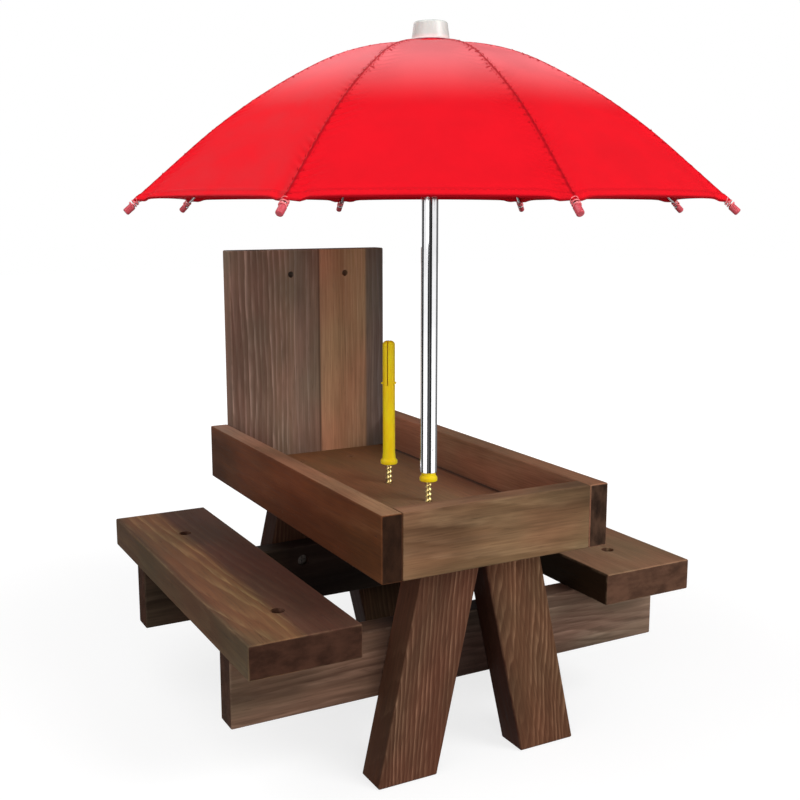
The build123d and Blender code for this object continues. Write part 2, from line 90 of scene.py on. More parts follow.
class NodeSheet:
    """A material's node tree, with one short method for each kind of node that the finishes use."""

    def __init__(self, name: str) -> None:
        """Starts a material with one principled shader.

        Args:
            name: name of the material.
        """
        self.material = bpy.data.materials.new(name)
        self.start(self.material, "ShaderNodeOutputMaterial")
        self.shader = self.add("ShaderNodeBsdfPrincipled", {})
        self.feed(self.output.inputs["Surface"], self.shader.outputs["BSDF"])

    def start(self, owner: Union[Material, bpy.types.World], output: str) -> None:
        """Clears a tree down to its output and its coordinates.

        Args:
            owner: the material or world.
            output: Blender's name of its output node.
        """
        owner.use_nodes = True
        self.tree = owner.node_tree
        self.tree.nodes.clear()
        self.output = self.tree.nodes.new(output)
        self.coordinates = self.tree.nodes.new("ShaderNodeTexCoord")

    def feed(self, socket: Socket, value: Feed) -> None:
        """Links a socket, or sets its constant.

        Args:
            socket: the input to feed.
            value: another node's output, or a constant.
        """
        if isinstance(value, Socket):
            self.tree.links.new(value, socket)
        elif socket.type == "RGBA" and len(value) == 3:
            socket.default_value = (*value, 1.0)
        else:
            socket.default_value = value

    def add(self, kind: str, feeds: dict, **settings: object) -> bpy.types.Node:
        """Adds a node.

        Args:
            kind: Blender's name of the node.
            feeds: value of each input, by name or number.
            settings: the node's own settings.

        Returns:
            The node.
        """
        node = self.tree.nodes.new(kind)
        for name, value in settings.items():
            setattr(node, name, value)
        for key, value in feeds.items():
            self.feed(node.inputs[key], value)
        return node

    def math(self, operation: str, first: Feed, *others: Feed) -> Socket:
        """A sum on numbers, taken from the left.

        Args:
            operation: Blender's name of the sum.
            first: first number.
            others: the numbers after it, where the sum takes more than one.

        Returns:
            The result.
        """
        result = first
        for other in others or (0.0,):
            result = self.add("ShaderNodeMath", {0: result, 1: other}, operation=operation).outputs[0]
        return result

    def times(self, *numbers: Feed) -> Socket:
        """The product of several numbers."""
        return self.math("MULTIPLY", *numbers)

    def scaled(self, vector: Feed, factors: Sequence[float]) -> Socket:
        """A vector multiplied axis by axis."""
        return self.add("ShaderNodeVectorMath", {0: vector, 1: factors}, operation="MULTIPLY").outputs[0]

    def split(self, vector: Feed) -> list[Socket]:
        """The x, y and z of a vector."""
        return list(self.add("ShaderNodeSeparateXYZ", {0: vector}).outputs)

    def noise(self, vector: Feed, scale: float, seed: float, detail: float = 2.0) -> Socket:
        """Soft noise from 0 to 1, with so many cells to the metre and a seed that picks the pattern."""
        feeds = {"Vector": vector, "W": seed, "Scale": scale, "Detail": detail}
        return self.add("ShaderNodeTexNoise", feeds, noise_dimensions="4D").outputs[0]

    def remap(self, value: Feed, low: float, high: float, to_low: float = 0.0, to_high: float = 1.0,
              way: str = "SMOOTHSTEP") -> Socket:
        """A number taken from one range to another along one of Blender's curves, held at the ends."""
        feeds = {"Value": value, "From Min": low, "From Max": high, "To Min": to_low, "To Max": to_high}
        return self.add("ShaderNodeMapRange", feeds, interpolation_type=way).outputs[0]

    def ramp(self, value: Feed, stops: Sequence[tuple], stepped: bool = False) -> bpy.types.Node:
        """A colour ramp.

        Args:
            value: place along the ramp, 0 to 1.
            stops: pairs of place and colour: a grey, or three numbers, or four with the alpha.
            stepped: true for hard steps.

        Returns:
            The ramp node, with its colour and alpha outputs.
        """
        node = self.add("ShaderNodeValToRGB", {0: value})
        band = node.color_ramp
        band.interpolation = "CONSTANT" if stepped else "LINEAR"
        while len(band.elements) < len(stops):
            band.elements.new(1.0)
        for element, (place, colour) in zip(band.elements, stops):
            parts = (colour,) * 3 if isinstance(colour, float) else colour
            element.position = place
            element.color = (*parts, 1.0)[:4]
        return node

    def mix(self, factor: Feed, first: Feed, second: Feed, mode: str = "MIX") -> Socket:
        """Two colours mixed in one of Blender's modes, by the share of the second."""
        feeds = {0: factor, 6: first, 7: second}
        return self.add("ShaderNodeMix", feeds, data_type="RGBA", blend_type=mode).outputs[2]

    def tinted(self, colour: Feed, *tints: Feed) -> Socket:
        """A colour multiplied by others in turn.

        Args:
            colour: the colour.
            tints: the colours to multiply it by, or numbers, which act as greys.

        Returns:
            The tinted colour.
        """
        for tint in tints:
            colour = self.mix(1.0, colour, tint, "MULTIPLY")
        return colour

    def bump(self, height: Feed, depth: float, strength: float = 1.0) -> None:
        """Feeds the shader's normal from a height of 0 to 1 and its depth in metres."""
        node = self.add("ShaderNodeBump", {"Height": height, "Distance": depth, "Strength": strength})
        self.feed(self.shader.inputs["Normal"], node.outputs["Normal"])

    def surface(self, **values: Feed) -> Material:
        """Feeds the shader's sockets, named with underscores for spaces.

        Args:
            values: value of each socket.

        Returns:
            The finished material.
        """
        for name, value in values.items():
            words = name.replace("_", " ")
            self.feed(self.shader.inputs[words], value)
        return self.material


class Streak(NamedTuple):
    """Noise drawn out along the grain: the smaller the squeeze, the longer its streaks."""

    squeeze: float
    scale: float
    offset: float
    detail: float = 2.0


class BoardSheet(NodeSheet):
    """A board's node tree, on the board's own coordinates: along its grain, across it and through it."""

    def __init__(self, name: str, centre: Vector, turn: Matrix, half: Sequence[float], seed: float) -> None:
        """Starts the finish of a board.

        Args:
            name: name of the material.
            centre: middle of the board.
            turn: rotation whose columns are its grain, width and thickness directions.
            half: half its length, width and thickness.
            seed: number of the board.
        """
        super().__init__(name)
        here = self.coordinates.outputs["Object"]
        feeds = {"Vector": here, "Location": centre, "Rotation": turn.to_euler()}
        self.local = self.add("ShaderNodeMapping", feeds, vector_type="TEXTURE").outputs[0]
        self.turn = turn
        self.half = half
        self.seed = seed

    def streaks(self, streak: Streak) -> Socket:
        """Noise along this board's own grain, 0 to 1."""
        place = self.scaled(self.local, (streak.squeeze, 1.0, 1.0))
        return self.noise(place, streak.scale, self.seed + streak.offset, streak.detail)

    def edge_distance(self) -> Socket:
        """Distance from a point on the board's surface to its nearest edge.

        Returns:
            The distance in metres.
        """
        gaps = [
            self.math("SUBTRACT", size, self.math("ABSOLUTE", part))
            for size, part in zip(self.half, self.split(self.local))
        ]
        low = self.math("MINIMUM", gaps[0], gaps[1])
        high = self.math("MAXIMUM", gaps[0], gaps[1])
        return self.math("MAXIMUM", low, self.math("MINIMUM", high, gaps[2]))

    def facing(self, way: Sequence[float]) -> Socket:
        """How much a surface looks one way, from -1 to 1."""
        feeds = {0: self.coordinates.outputs["Normal"], 1: tuple(way)}
        return self.add("ShaderNodeVectorMath", feeds, operation="DOT_PRODUCT").outputs["Value"]


@dataclass(frozen=True)
class Cut:
    """How a board was sawn: where the middle of its tree lay and how the tree leant."""

    pith: tuple[float, float]
    slope: float = 0.03
    dip: float = 0.0


@dataclass(frozen=True)
class StainedWood:
    """Dark brown stained softwood with pale growth lines, dark bands, fibres and rubbed edges."""

    base: Colour
    line: Colour
    shade: Colour
    ring_gap: float
    line_width: float
    line_share: float
    band_share: float
    sawn: Colour = (0.048, 0.022, 0.014)
    hues: tuple[Colour, Colour] = ((1.10, 0.97, 0.96), (0.90, 1.00, 0.97))
    band_scale: float = 45.0
    patch_range: Range = (0.34, 0.60)
    cloud_depth: float = 0.10
    # Painted light: a tint for top faces, lighter or darker as light falls on them.
    painted_top_light: Colour = WHITE
    relief: float = 0.00022
    waviness: float = 1.0
    sawn_depth: float = 0.34
    worn_width: Range = (0.0002, 0.0014)
    roughness: Range = (0.58, 0.80)
    specular: float = 0.05
    wander: Streak = Streak(0.20, 24.0, 0.0, 1.0)
    wander_depth: float = 4.2
    wobble: Streak = Streak(0.16, 130.0, 3.1)
    wobble_depth: float = 1.1
    patches: Streak = Streak(0.16, 48.0, 4.2)
    breaks: Streak = Streak(0.22, 210.0, 9.3)
    hue_clouds: Streak = Streak(0.45, 26.0, 7.7)
    tone_clouds: Streak = Streak(0.3, 40.0, 12.6, 3.0)
    fibres: Streak = Streak(0.035, 1000.0, 1.7, 3.0)
    pores: Streak = Streak(0.06, 1500.0, 8.9, 1.0)
    rubs: Streak = Streak(1.0, 150.0, 6.4)
    late_share: float = 0.25
    weakest_year: float = 0.3
    patch_floor: float = 0.12
    break_span: Span = (0.36, 0.60, 0.35, 1.0)
    side_span: Span = (0.4, 0.9, 0.2, 1.0)
    band_range: Range = (0.62, 0.36)
    hue_range: Range = (0.34, 0.66)
    tone_range: Range = (0.32, 0.68)
    facing_range: Range = (0.75, 0.95)
    mottle_stretch: tuple[float, float, float] = (1.0, 0.7, 1.3)
    mottle_range: Range = (0.3, 0.7)
    rub_span: Span = (0.36, 0.62, 0.0, 0.15)
    pore_range: Range = (0.62, 0.74)
    pore_tone: float = 0.78
    fibre_span: Span = (0.25, 0.75, 0.84, 1.16)
    dull_range: Range = (0.2, 0.8)
    heights: tuple[float, float, float] = (0.5, 0.5, -0.35)
    # Tints across and along a board: grain and colour streaks on some boards, and painted light, shade or
    # shadow on others.
    strips: tuple = ((0.0, 1.0), (1.0, 1.0))
    stretches: tuple = ((0.0, 1.0), (1.0, 1.0))

    def rings(self, sheet: BoardSheet, cut: Cut) -> Socket:
        """Lines of late growth, from rings about a wandering pith.

        Args:
            sheet: the board's node tree.
            cut: how the board was sawn.

        Returns:
            Strength of the line, 0 to 1.
        """
        along, across, through = sheet.split(sheet.local)
        wide = sheet.math("ADD", across, -cut.pith[0], sheet.times(along, cut.slope))
        deep = sheet.math("ADD", through, -cut.pith[1], sheet.times(along, cut.dip))
        radius = sheet.math("SQRT", sheet.math("ADD", sheet.times(wide, wide), sheet.times(deep, deep)))
        drift = self.waviness * self.ring_gap
        wander = sheet.times(sheet.streaks(self.wander), self.wander_depth * drift)
        wobble = sheet.times(sheet.streaks(self.wobble), self.wobble_depth * drift)
        count = sheet.math("DIVIDE", sheet.math("ADD", radius, wander, wobble), self.ring_gap)
        year = sheet.math("FLOOR", count)
        vigour = sheet.add("ShaderNodeTexWhiteNoise", {"W": year}, noise_dimensions="1D").outputs[0]
        rise, fall = 1.0 - self.line_width, 1.0 - self.late_share * self.line_width
        growth = ((0.0, 0.0), (0.6 * rise, 0.06), (rise, 0.3), (fall, 1.0), (1.0, 0.0))
        line = sheet.ramp(sheet.math("FRACT", count), growth).outputs[0]
        return sheet.times(line, sheet.remap(vigour, 0.0, 1.0, self.weakest_year, 1.0))

    def figure(self, sheet: BoardSheet, cut: Cut, strength: Feed) -> Socket:
        """The growth lines as they show: in patches, broken, and faint on the board's narrow sides.

        Args:
            sheet: the board's node tree.
            cut: how the board was sawn.
            strength: share of the lines that each strip of the board shows.

        Returns:
            Strength of the line, 0 to 1.
        """
        patch = sheet.remap(sheet.streaks(self.patches), *self.patch_range, self.patch_floor, 1.0)
        broken = sheet.remap(sheet.streaks(self.breaks), *self.break_span)
        face = sheet.remap(sheet.math("ABSOLUTE", sheet.facing(sheet.turn.col[2])), *self.side_span)
        return sheet.times(self.rings(sheet, cut), patch, broken, strength, face)

    def stain(self, sheet: BoardSheet, line: Feed, *tints: Feed) -> Socket:
        """The stain along the board, with dark bands, lines and clouds, and its top faces painted lighter or
        darker for the light that falls on them.

        Args:
            sheet: the board's node tree.
            line: strength of the growth lines.
            tints: colours to multiply the stain by.

        Returns:
            The colour.
        """
        bands = Streak(squeeze=0.07, scale=self.band_scale, offset=5.3, detail=3.0)
        band = sheet.remap(sheet.streaks(bands), *self.band_range)
        colour = sheet.mix(sheet.times(band, self.band_share), self.base, self.shade)
        colour = sheet.mix(sheet.times(line, self.line_share), colour, self.line)
        hue = sheet.mix(sheet.remap(sheet.streaks(self.hue_clouds), *self.hue_range), *self.hues)
        cloud = sheet.streaks(self.tone_clouds)
        tone = sheet.remap(cloud, *self.tone_range, 1.0 - self.cloud_depth, 1.0 + self.cloud_depth)
        colour = sheet.tinted(colour, *tints, hue, tone)
        # Painted light on the top faces.
        on_top = sheet.remap(sheet.facing(UP), *self.facing_range)
        return sheet.mix(on_top, colour, sheet.tinted(colour, self.painted_top_light))

    def ends_and_edges(self, sheet: BoardSheet, colour: Feed) -> Socket:
        """Dark rough sawn ends and rubbed edges over the stain.

        Args:
            sheet: the board's node tree.
            colour: the stain.

        Returns:
            The colour.
        """
        sawn_end = sheet.remap(sheet.math("ABSOLUTE", sheet.facing(sheet.turn.col[0])), *self.facing_range)
        place = sheet.scaled(sheet.local, self.mottle_stretch)
        mottle = sheet.noise(place, scale=150.0, seed=sheet.seed + 2.2, detail=4.0)
        rough = sheet.remap(mottle, *self.mottle_range, 1.0 - self.sawn_depth, 1.0 + self.sawn_depth)
        colour = sheet.mix(sawn_end, colour, sheet.tinted(self.sawn, rough))
        worn = sheet.remap(sheet.edge_distance(), *self.worn_width, 1.0, 0.0)
        rubbed = sheet.remap(sheet.streaks(self.rubs), *self.rub_span)
        return sheet.mix(sheet.times(worn, rubbed), colour, self.line)

    def make(self, sheet: BoardSheet, cut: Cut) -> Material:
        """The finish of one board.

        Args:
            sheet: the board's node tree.
            cut: how the board was sawn.

        Returns:
            The material.
        """
        along, across, _ = sheet.split(sheet.local)
        length, width, _ = sheet.half
        stretch = sheet.ramp(sheet.remap(along, -length, length, way="LINEAR"), self.stretches).outputs[0]
        strip = sheet.ramp(sheet.remap(across, -width, width, way="LINEAR"), self.strips)
        line = self.figure(sheet, cut, strip.outputs["Alpha"])
        fibre = sheet.streaks(self.fibres)
        pores = sheet.remap(sheet.streaks(self.pores), *self.pore_range)
        threads = sheet.remap(fibre, *self.fibre_span)
        specks = sheet.remap(pores, 0.0, 1.0, 1.0, self.pore_tone)
        colour = self.stain(sheet, line, strip.outputs["Color"], stretch, threads, specks)
        colour = self.ends_and_edges(sheet, colour)
        height = sheet.math("ADD", *map(sheet.times, (line, fibre, pores), self.heights))
        sheet.bump(height, self.relief)
        dull = sheet.remap(fibre, *self.dull_range, *self.roughness)
        return sheet.surface(Base_Color=colour, Roughness=dull, Specular_IOR_Level=self.specular)


@dataclass(frozen=True)
class RedNylon:
    """Thin red woven nylon, painted paler towards the crown for its sheen, with puckered seams and a hem, and
    painted shade along the seams, the puckers, the hem's fold and the rim.
    """

    name: str = "red_nylon"
    body: Colour = (0.708, 0.0052, 0.0136)
    # Painted sheen: the cloth's colour towards the crown, where its sheen would be.
    pale: Colour = (0.775, 0.163, 0.180)
    # Painted shade colour for the seams, the puckers beside them, the hem's fold and the rim; it also gives
    # the hem's stitches their darker thread.
    shadow: Colour = (0.330, 0.002, 0.007)
    pale_reach: Range = (0.066, 0.130)
    thread_gap: float = 0.00042
    hem_width: float = 0.0048
    stitch_gap: float = 0.0030
    # Where the painted shade of the puckers beside each seam falls.
    notch_gap: float = 0.0046
    notch_offset: float = 0.0021
    notch_reach: Range = (0.060, 0.095)
    notch_slant: float = 0.8
    notch_share: float = 0.85
    notch_start: Range = (0.10, 0.22)
    notch_end: Range = (0.34, 0.48)
    notch_width: Range = (0.0007, 0.0019)
    notch_gaps: Range = (0.40, 0.60)
    # Painted shade lines along the hem's fold, the rim and each seam: inner width, outer width and strength.
    hem_shade_mark: tuple[float, float, float] = (0.0002, 0.0009, 0.22)
    rim_shade_mark: tuple[float, float, float] = (0.0003, 0.0013, 0.65)
    seam_shade_mark: tuple[float, float, float] = (0.0003, 0.0012, 0.8)
    stitch_share: float = 0.3
    stitch_height: float = 0.5
    stitch_row: float = 0.78
    stitch_width: Range = (0.00012, 0.00034)
    stitch_end: Range = (0.62, 0.72)
    cloud_range: Range = (0.3, 0.7)
    cloud_tones: Range = (0.95, 1.04)
    weave_height: float = 0.06
    crease_height: float = 0.55
    relief: float = 0.0004
    relief_share: float = 0.6
    roughness: Range = (0.48, 0.62)
    specular: float = 0.04

    def pucker_shading(self, sheet: NodeSheet, across: Feed, up: Feed) -> Socket:
        """Painted shade in the short puckers beside the upper part of a seam.

        Args:
            sheet: node tree to add to.
            across: metres from the seam.
            up: metres up from the rim.

        Returns:
            Their strength, 0 to 1.
        """
        slant = sheet.math("ADD", up, sheet.times(across, self.notch_slant))
        beat = sheet.math("FRACT", sheet.math("DIVIDE", slant, self.notch_gap))
        start, end = sheet.remap(beat, *self.notch_start), sheet.remap(beat, *self.notch_end, 1.0, 0.0)
        away = sheet.math("ABSOLUTE", sheet.math("SUBTRACT", across, self.notch_offset))
        beside = sheet.remap(away, *self.notch_width, 1.0, 0.0)
        high = sheet.remap(up, *self.notch_reach)
        patches = sheet.noise(sheet.coordinates.outputs["UV"], scale=130.0, seed=6.1)
        uneven = sheet.remap(patches, *self.notch_gaps)
        return sheet.times(start, end, beside, high, uneven)

    def stitches(self, sheet: NodeSheet, across: Feed, up: Feed) -> Socket:
        """The row of stitches in the hem.

        Args:
            sheet: node tree to add to.
            across: metres from the seam.
            up: metres up from the rim.

        Returns:
            Their strength, 0 to 1.
        """
        row = sheet.math("ABSOLUTE", sheet.math("SUBTRACT", up, self.stitch_row * self.hem_width))
        in_row = sheet.remap(row, *self.stitch_width, 1.0, 0.0)
        beat = sheet.math("FRACT", sheet.math("DIVIDE", across, self.stitch_gap))
        return sheet.times(in_row, sheet.remap(beat, *self.stitch_end, 1.0, 0.0))

    def make(self, number: int, tone: float) -> Material:
        """The finish of one gore, on a map of metres from the seam and metres up from the rim.

        Args:
            number: number of the gore.
            tone: brightness of the gore, partly the random tone of its cloth and partly painted light:
                lighter on gores that the lamps light less, darker on the best lit front one.

        Returns:
            The material.
        """
        sheet = NodeSheet(f"{self.name}_{number}")
        place = sheet.coordinates.outputs["UV"]
        across, up, _ = sheet.split(place)
        cloud = sheet.noise(place, scale=42.0, seed=1.3 + number, detail=3.0)
        # Painted sheen: the cloth turns paler towards the crown.
        colour = sheet.mix(sheet.remap(up, *self.pale_reach), self.body, self.pale)
        # The gore's tone, which partly carries painted light.
        low, high = (share * tone for share in self.cloud_tones)
        colour = sheet.tinted(colour, sheet.remap(cloud, *self.cloud_range, low, high))
        stitch = self.stitches(sheet, across, up)
        hem_line = sheet.math("ABSOLUTE", sheet.math("SUBTRACT", up, self.hem_width))
        hem_shade = sheet.remap(hem_line, *self.hem_shade_mark, 0.0)
        rim_shade = sheet.remap(up, *self.rim_shade_mark, 0.0)
        seam = sheet.remap(across, *self.seam_shade_mark, 0.0)
        pucker_shade = sheet.times(self.pucker_shading(sheet, across, up), self.notch_share)
        thread = sheet.times(stitch, self.stitch_share)
        # Painted shade at the seams, puckers, hem fold and rim, with the darker thread of the hem's stitches.
        dark = sheet.math("MAXIMUM", hem_shade, rim_shade, seam, pucker_shade, thread)
        colour = sheet.mix(dark, colour, self.shadow)
        warp, weft = (sheet.math("SINE", sheet.times(way, 2 * pi / self.thread_gap)) for way in (across, up))
        crease = sheet.noise(sheet.scaled(place, (1.0, 0.35, 1.0)), scale=150.0, seed=4.4)
        weave = sheet.times(warp, weft, self.weave_height)
        folds = sheet.times(crease, self.crease_height)
        height = sheet.math("ADD", weave, folds, sheet.times(stitch, self.stitch_height))
        sheet.bump(height, self.relief, self.relief_share)
        dull = sheet.remap(cloud, *self.cloud_range, *self.roughness)
        return sheet.surface(Base_Color=colour, Roughness=dull, Specular_IOR_Level=self.specular)


@dataclass(frozen=True)
class Plastic:
    """Moulded plastic with a faint flow mottle, a satin skin and bands that fade out between two heights."""

    name: str
    body: Colour
    deep: Colour
    roughness: Range = (0.28, 0.42)
    grit: float = 700.0
    relief: float = 0.00006
    subsurface: float = 0.0
    subsurface_radius: Colour = (0.004, 0.003, 0.002)
    coat: float = 0.0
    coat_roughness: float = 0.18
    specular: float = 0.25
    refraction: float = 1.46
    flow_range: Range = (0.30, 0.72)
    grain_range: Range = (0.3, 0.7)
    # Tints held below a height; the milky cap uses them for a painted reflection and a painted shadow.
    bands: tuple = ()

    def make(self) -> Material:
        """The plastic's finish.

        Returns:
            The material.
        """
        sheet = NodeSheet(self.name)
        point = sheet.coordinates.outputs["Object"]
        flow = sheet.noise(sheet.scaled(point, (1.0, 1.0, 0.35)), scale=170.0, seed=2.6, detail=3.0)
        grain = sheet.noise(point, self.grit, seed=7.7)
        colour = sheet.mix(sheet.remap(flow, *self.flow_range), self.deep, self.body)
        for low, high, tint in self.bands:
            colour = sheet.mix(sheet.remap(sheet.split(point)[2], low, high, 1.0, 0.0), colour, tint)
        sheet.bump(grain, self.relief)
        dull = sheet.remap(grain, *self.grain_range, *self.roughness)
        return sheet.surface(Base_Color=colour, Roughness=dull,
                             Subsurface_Weight=self.subsurface, Subsurface_Radius=self.subsurface_radius,
                             Subsurface_Scale=1.0, IOR=self.refraction, Specular_IOR_Level=self.specular,
                             Coat_Weight=self.coat, Coat_Roughness=self.coat_roughness)


@dataclass(frozen=True)
class PlatedMetal:
    """Plated metal with fine drawn lines along one axis and a little tarnish."""

    name: str
    body: Colour
    tarnish: Colour
    roughness: Range
    line_scale: tuple[float, float, float] = (1.0, 1.0, 0.04)
    lines: float = 1400.0
    relief: float = 0.00002
    stain_share: float = 0.5
    stain_dulling: float = 0.12
    blotch_range: Range = (0.42, 0.72)
    drawn_range: Range = (0.3, 0.7)

    def make(self) -> Material:
        """The metal's finish.

        Returns:
            The material.
        """
        sheet = NodeSheet(self.name)
        point = sheet.coordinates.outputs["Object"]
        drawn = sheet.noise(sheet.scaled(point, self.line_scale), self.lines, seed=3.3)
        cloud = sheet.noise(point, scale=260.0, seed=9.1, detail=3.0)
        blotch = sheet.remap(cloud, *self.blotch_range)
        stain = sheet.times(blotch, self.stain_share)
        sheet.bump(drawn, self.relief)
        drawn_dull = sheet.remap(drawn, *self.drawn_range, *self.roughness)
        dull = sheet.math("ADD", drawn_dull, sheet.times(stain, self.stain_dulling))
        colour = sheet.mix(stain, self.body, self.tarnish)
        return sheet.surface(Base_Color=colour, Roughness=dull, Metallic=1.0)


class Workbench:
    """The modelling operators by short names, each acting only on the objects that it is given."""

    @staticmethod
    def pick(*pieces: Piece) -> None:
        """Selects these objects alone and makes the first one active.

        Args:
            pieces: the objects.
        """
        bpy.ops.object.select_all(action="DESELECT")
        for piece in pieces:
            piece.select_set(True)
        bpy.context.view_layer.objects.active = pieces[0]

    @staticmethod
    def named(name: str) -> Piece:
        """Names the object that an operator has just made.

        Args:
            name: name of the piece.

        Returns:
            The object.
        """
        piece = bpy.context.view_layer.objects.active
        piece.name = name
        piece.data.name = name
        return piece

    @staticmethod
    def add(operator: Callable, name: str, scale: Sequence[float] = (1.0, 1.0, 1.0),
            **settings: object) -> Piece:
        """Adds a primitive with nothing else selected, its place, turn and scale moved into its mesh.

        Args:
            operator: Blender's operator that adds it.
            name: name of the piece.
            scale: a factor for each of its axes.
            settings: the operator's settings.

        Returns:
            The object.
        """
        bpy.ops.object.select_all(action="DESELECT")
        operator(**settings)
        piece = Workbench.named(name)
        piece.scale = scale
        bpy.ops.object.transform_apply(location=True, rotation=True, scale=True)
        return piece

    @staticmethod
    @contextmanager
    def editing(piece: Piece) -> Iterator[None]:
        """Edit mode, with the whole mesh selected at its start.

        Args:
            piece: the object.

        Yields:
            Nothing, while edit mode lasts.
        """
        Workbench.pick(piece)
        bpy.ops.object.mode_set(mode="EDIT")
        bpy.ops.mesh.select_all(action="SELECT")
        yield
        bpy.ops.object.mode_set(mode="OBJECT")

    @staticmethod
    def modify(piece: Piece, kind: str, **settings: object) -> None:
        """Adds a modifier and applies it.

        Args:
            piece: the object.
            kind: Blender's name of the modifier.
            settings: the modifier's settings.
        """
        Workbench.pick(piece)
        modifier = piece.modifiers.new(kind.lower(), kind)
        for name, value in settings.items():
            setattr(modifier, name, value)
        bpy.ops.object.modifier_apply(modifier=modifier.name)

    @staticmethod
    def smooth(piece: Piece, degrees: float) -> None:
        """Smooth shading, with edges sharper than an angle left crisp."""
        Workbench.pick(piece)
        bpy.ops.object.shade_smooth_by_angle(angle=radians(degrees))

    @staticmethod
    def copy(piece: Piece, name: str, move: Matrix) -> Piece:
        """A copy with a mesh of its own, moved in its mesh.

        Args:
            piece: the object.
            name: name of the copy.
            move: where the copy goes.

        Returns:
            The copy.
        """
        twin = piece.copy()
        twin.data = piece.data.copy()
        twin.name = name
        twin.data.name = name
        twin.data.transform(move)
        bpy.context.scene.collection.objects.link(twin)
        return twin

    @staticmethod
    def join(pieces: Sequence[Piece], name: str) -> Piece:
        """Several objects as one.

        Args:
            pieces: the objects.
            name: name of the whole.

        Returns:
            The joined object.
        """
        Workbench.pick(*pieces)
        bpy.ops.object.join()
        return Workbench.named(name)

    @staticmethod
    def face_up(mesh: bpy.types.Mesh) -> float:
        """Turns an open sheet so that it faces upwards.

        Args:
            mesh: the sheet's mesh.

        Returns:
            The area of the sheet.
        """
        mesh.update()
        if mesh.polygons[0].normal.z < 0:
            mesh.flip_normals()
        return sum(face.area for face in mesh.polygons)


def dress(piece: Piece, *materials: Material) -> None:
    """Gives a piece its materials in place of any others.

    Args:
        piece: the object.
        materials: its materials, in slot order.
    """
    piece.data.materials.clear()
    for material in materials:
        piece.data.materials.append(material)


@dataclass(frozen=True)
class Board:
    """One board of the table and the way its timber was cut."""

    node: str
    lie: Grain
    wood: StainedWood
    cut: Cut
    lean: float = 0.0

    def axes(self) -> Matrix:
        """Rotation whose columns are the grain, width and thickness directions.

        Returns:
            The rotation.
        """
        turn = Matrix.Rotation(self.lean, 3, "Y")
        grain, width = (turn @ Vector(row) for row in self.lie.value)
        return Matrix((grain, width, grain.cross(width))).transposed()

    def finish(self, seed: float) -> None:
        """Finishes the board's own surface.

        Args:
            seed: number of the board.
        """
        low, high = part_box(self.node)
        size = high - low
        grain, width = (Vector(row) for row in self.lie.value)
        rest = Vector((1, 1, 1)) - grain - width
        half = [size.dot(axis) / 2 for axis in (grain, width, rest)]
        if self.lean:
            half = [size.dot(grain), LEG_WIDTH / 2, size.dot(rest) / 2]
        sheet = BoardSheet(f"wood_{self.node}", (low + high) / 2, self.axes(), half, seed)
        dress(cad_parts[self.node], self.wood.make(sheet, self.cut))
        log.info("board %s dressed", self.node)


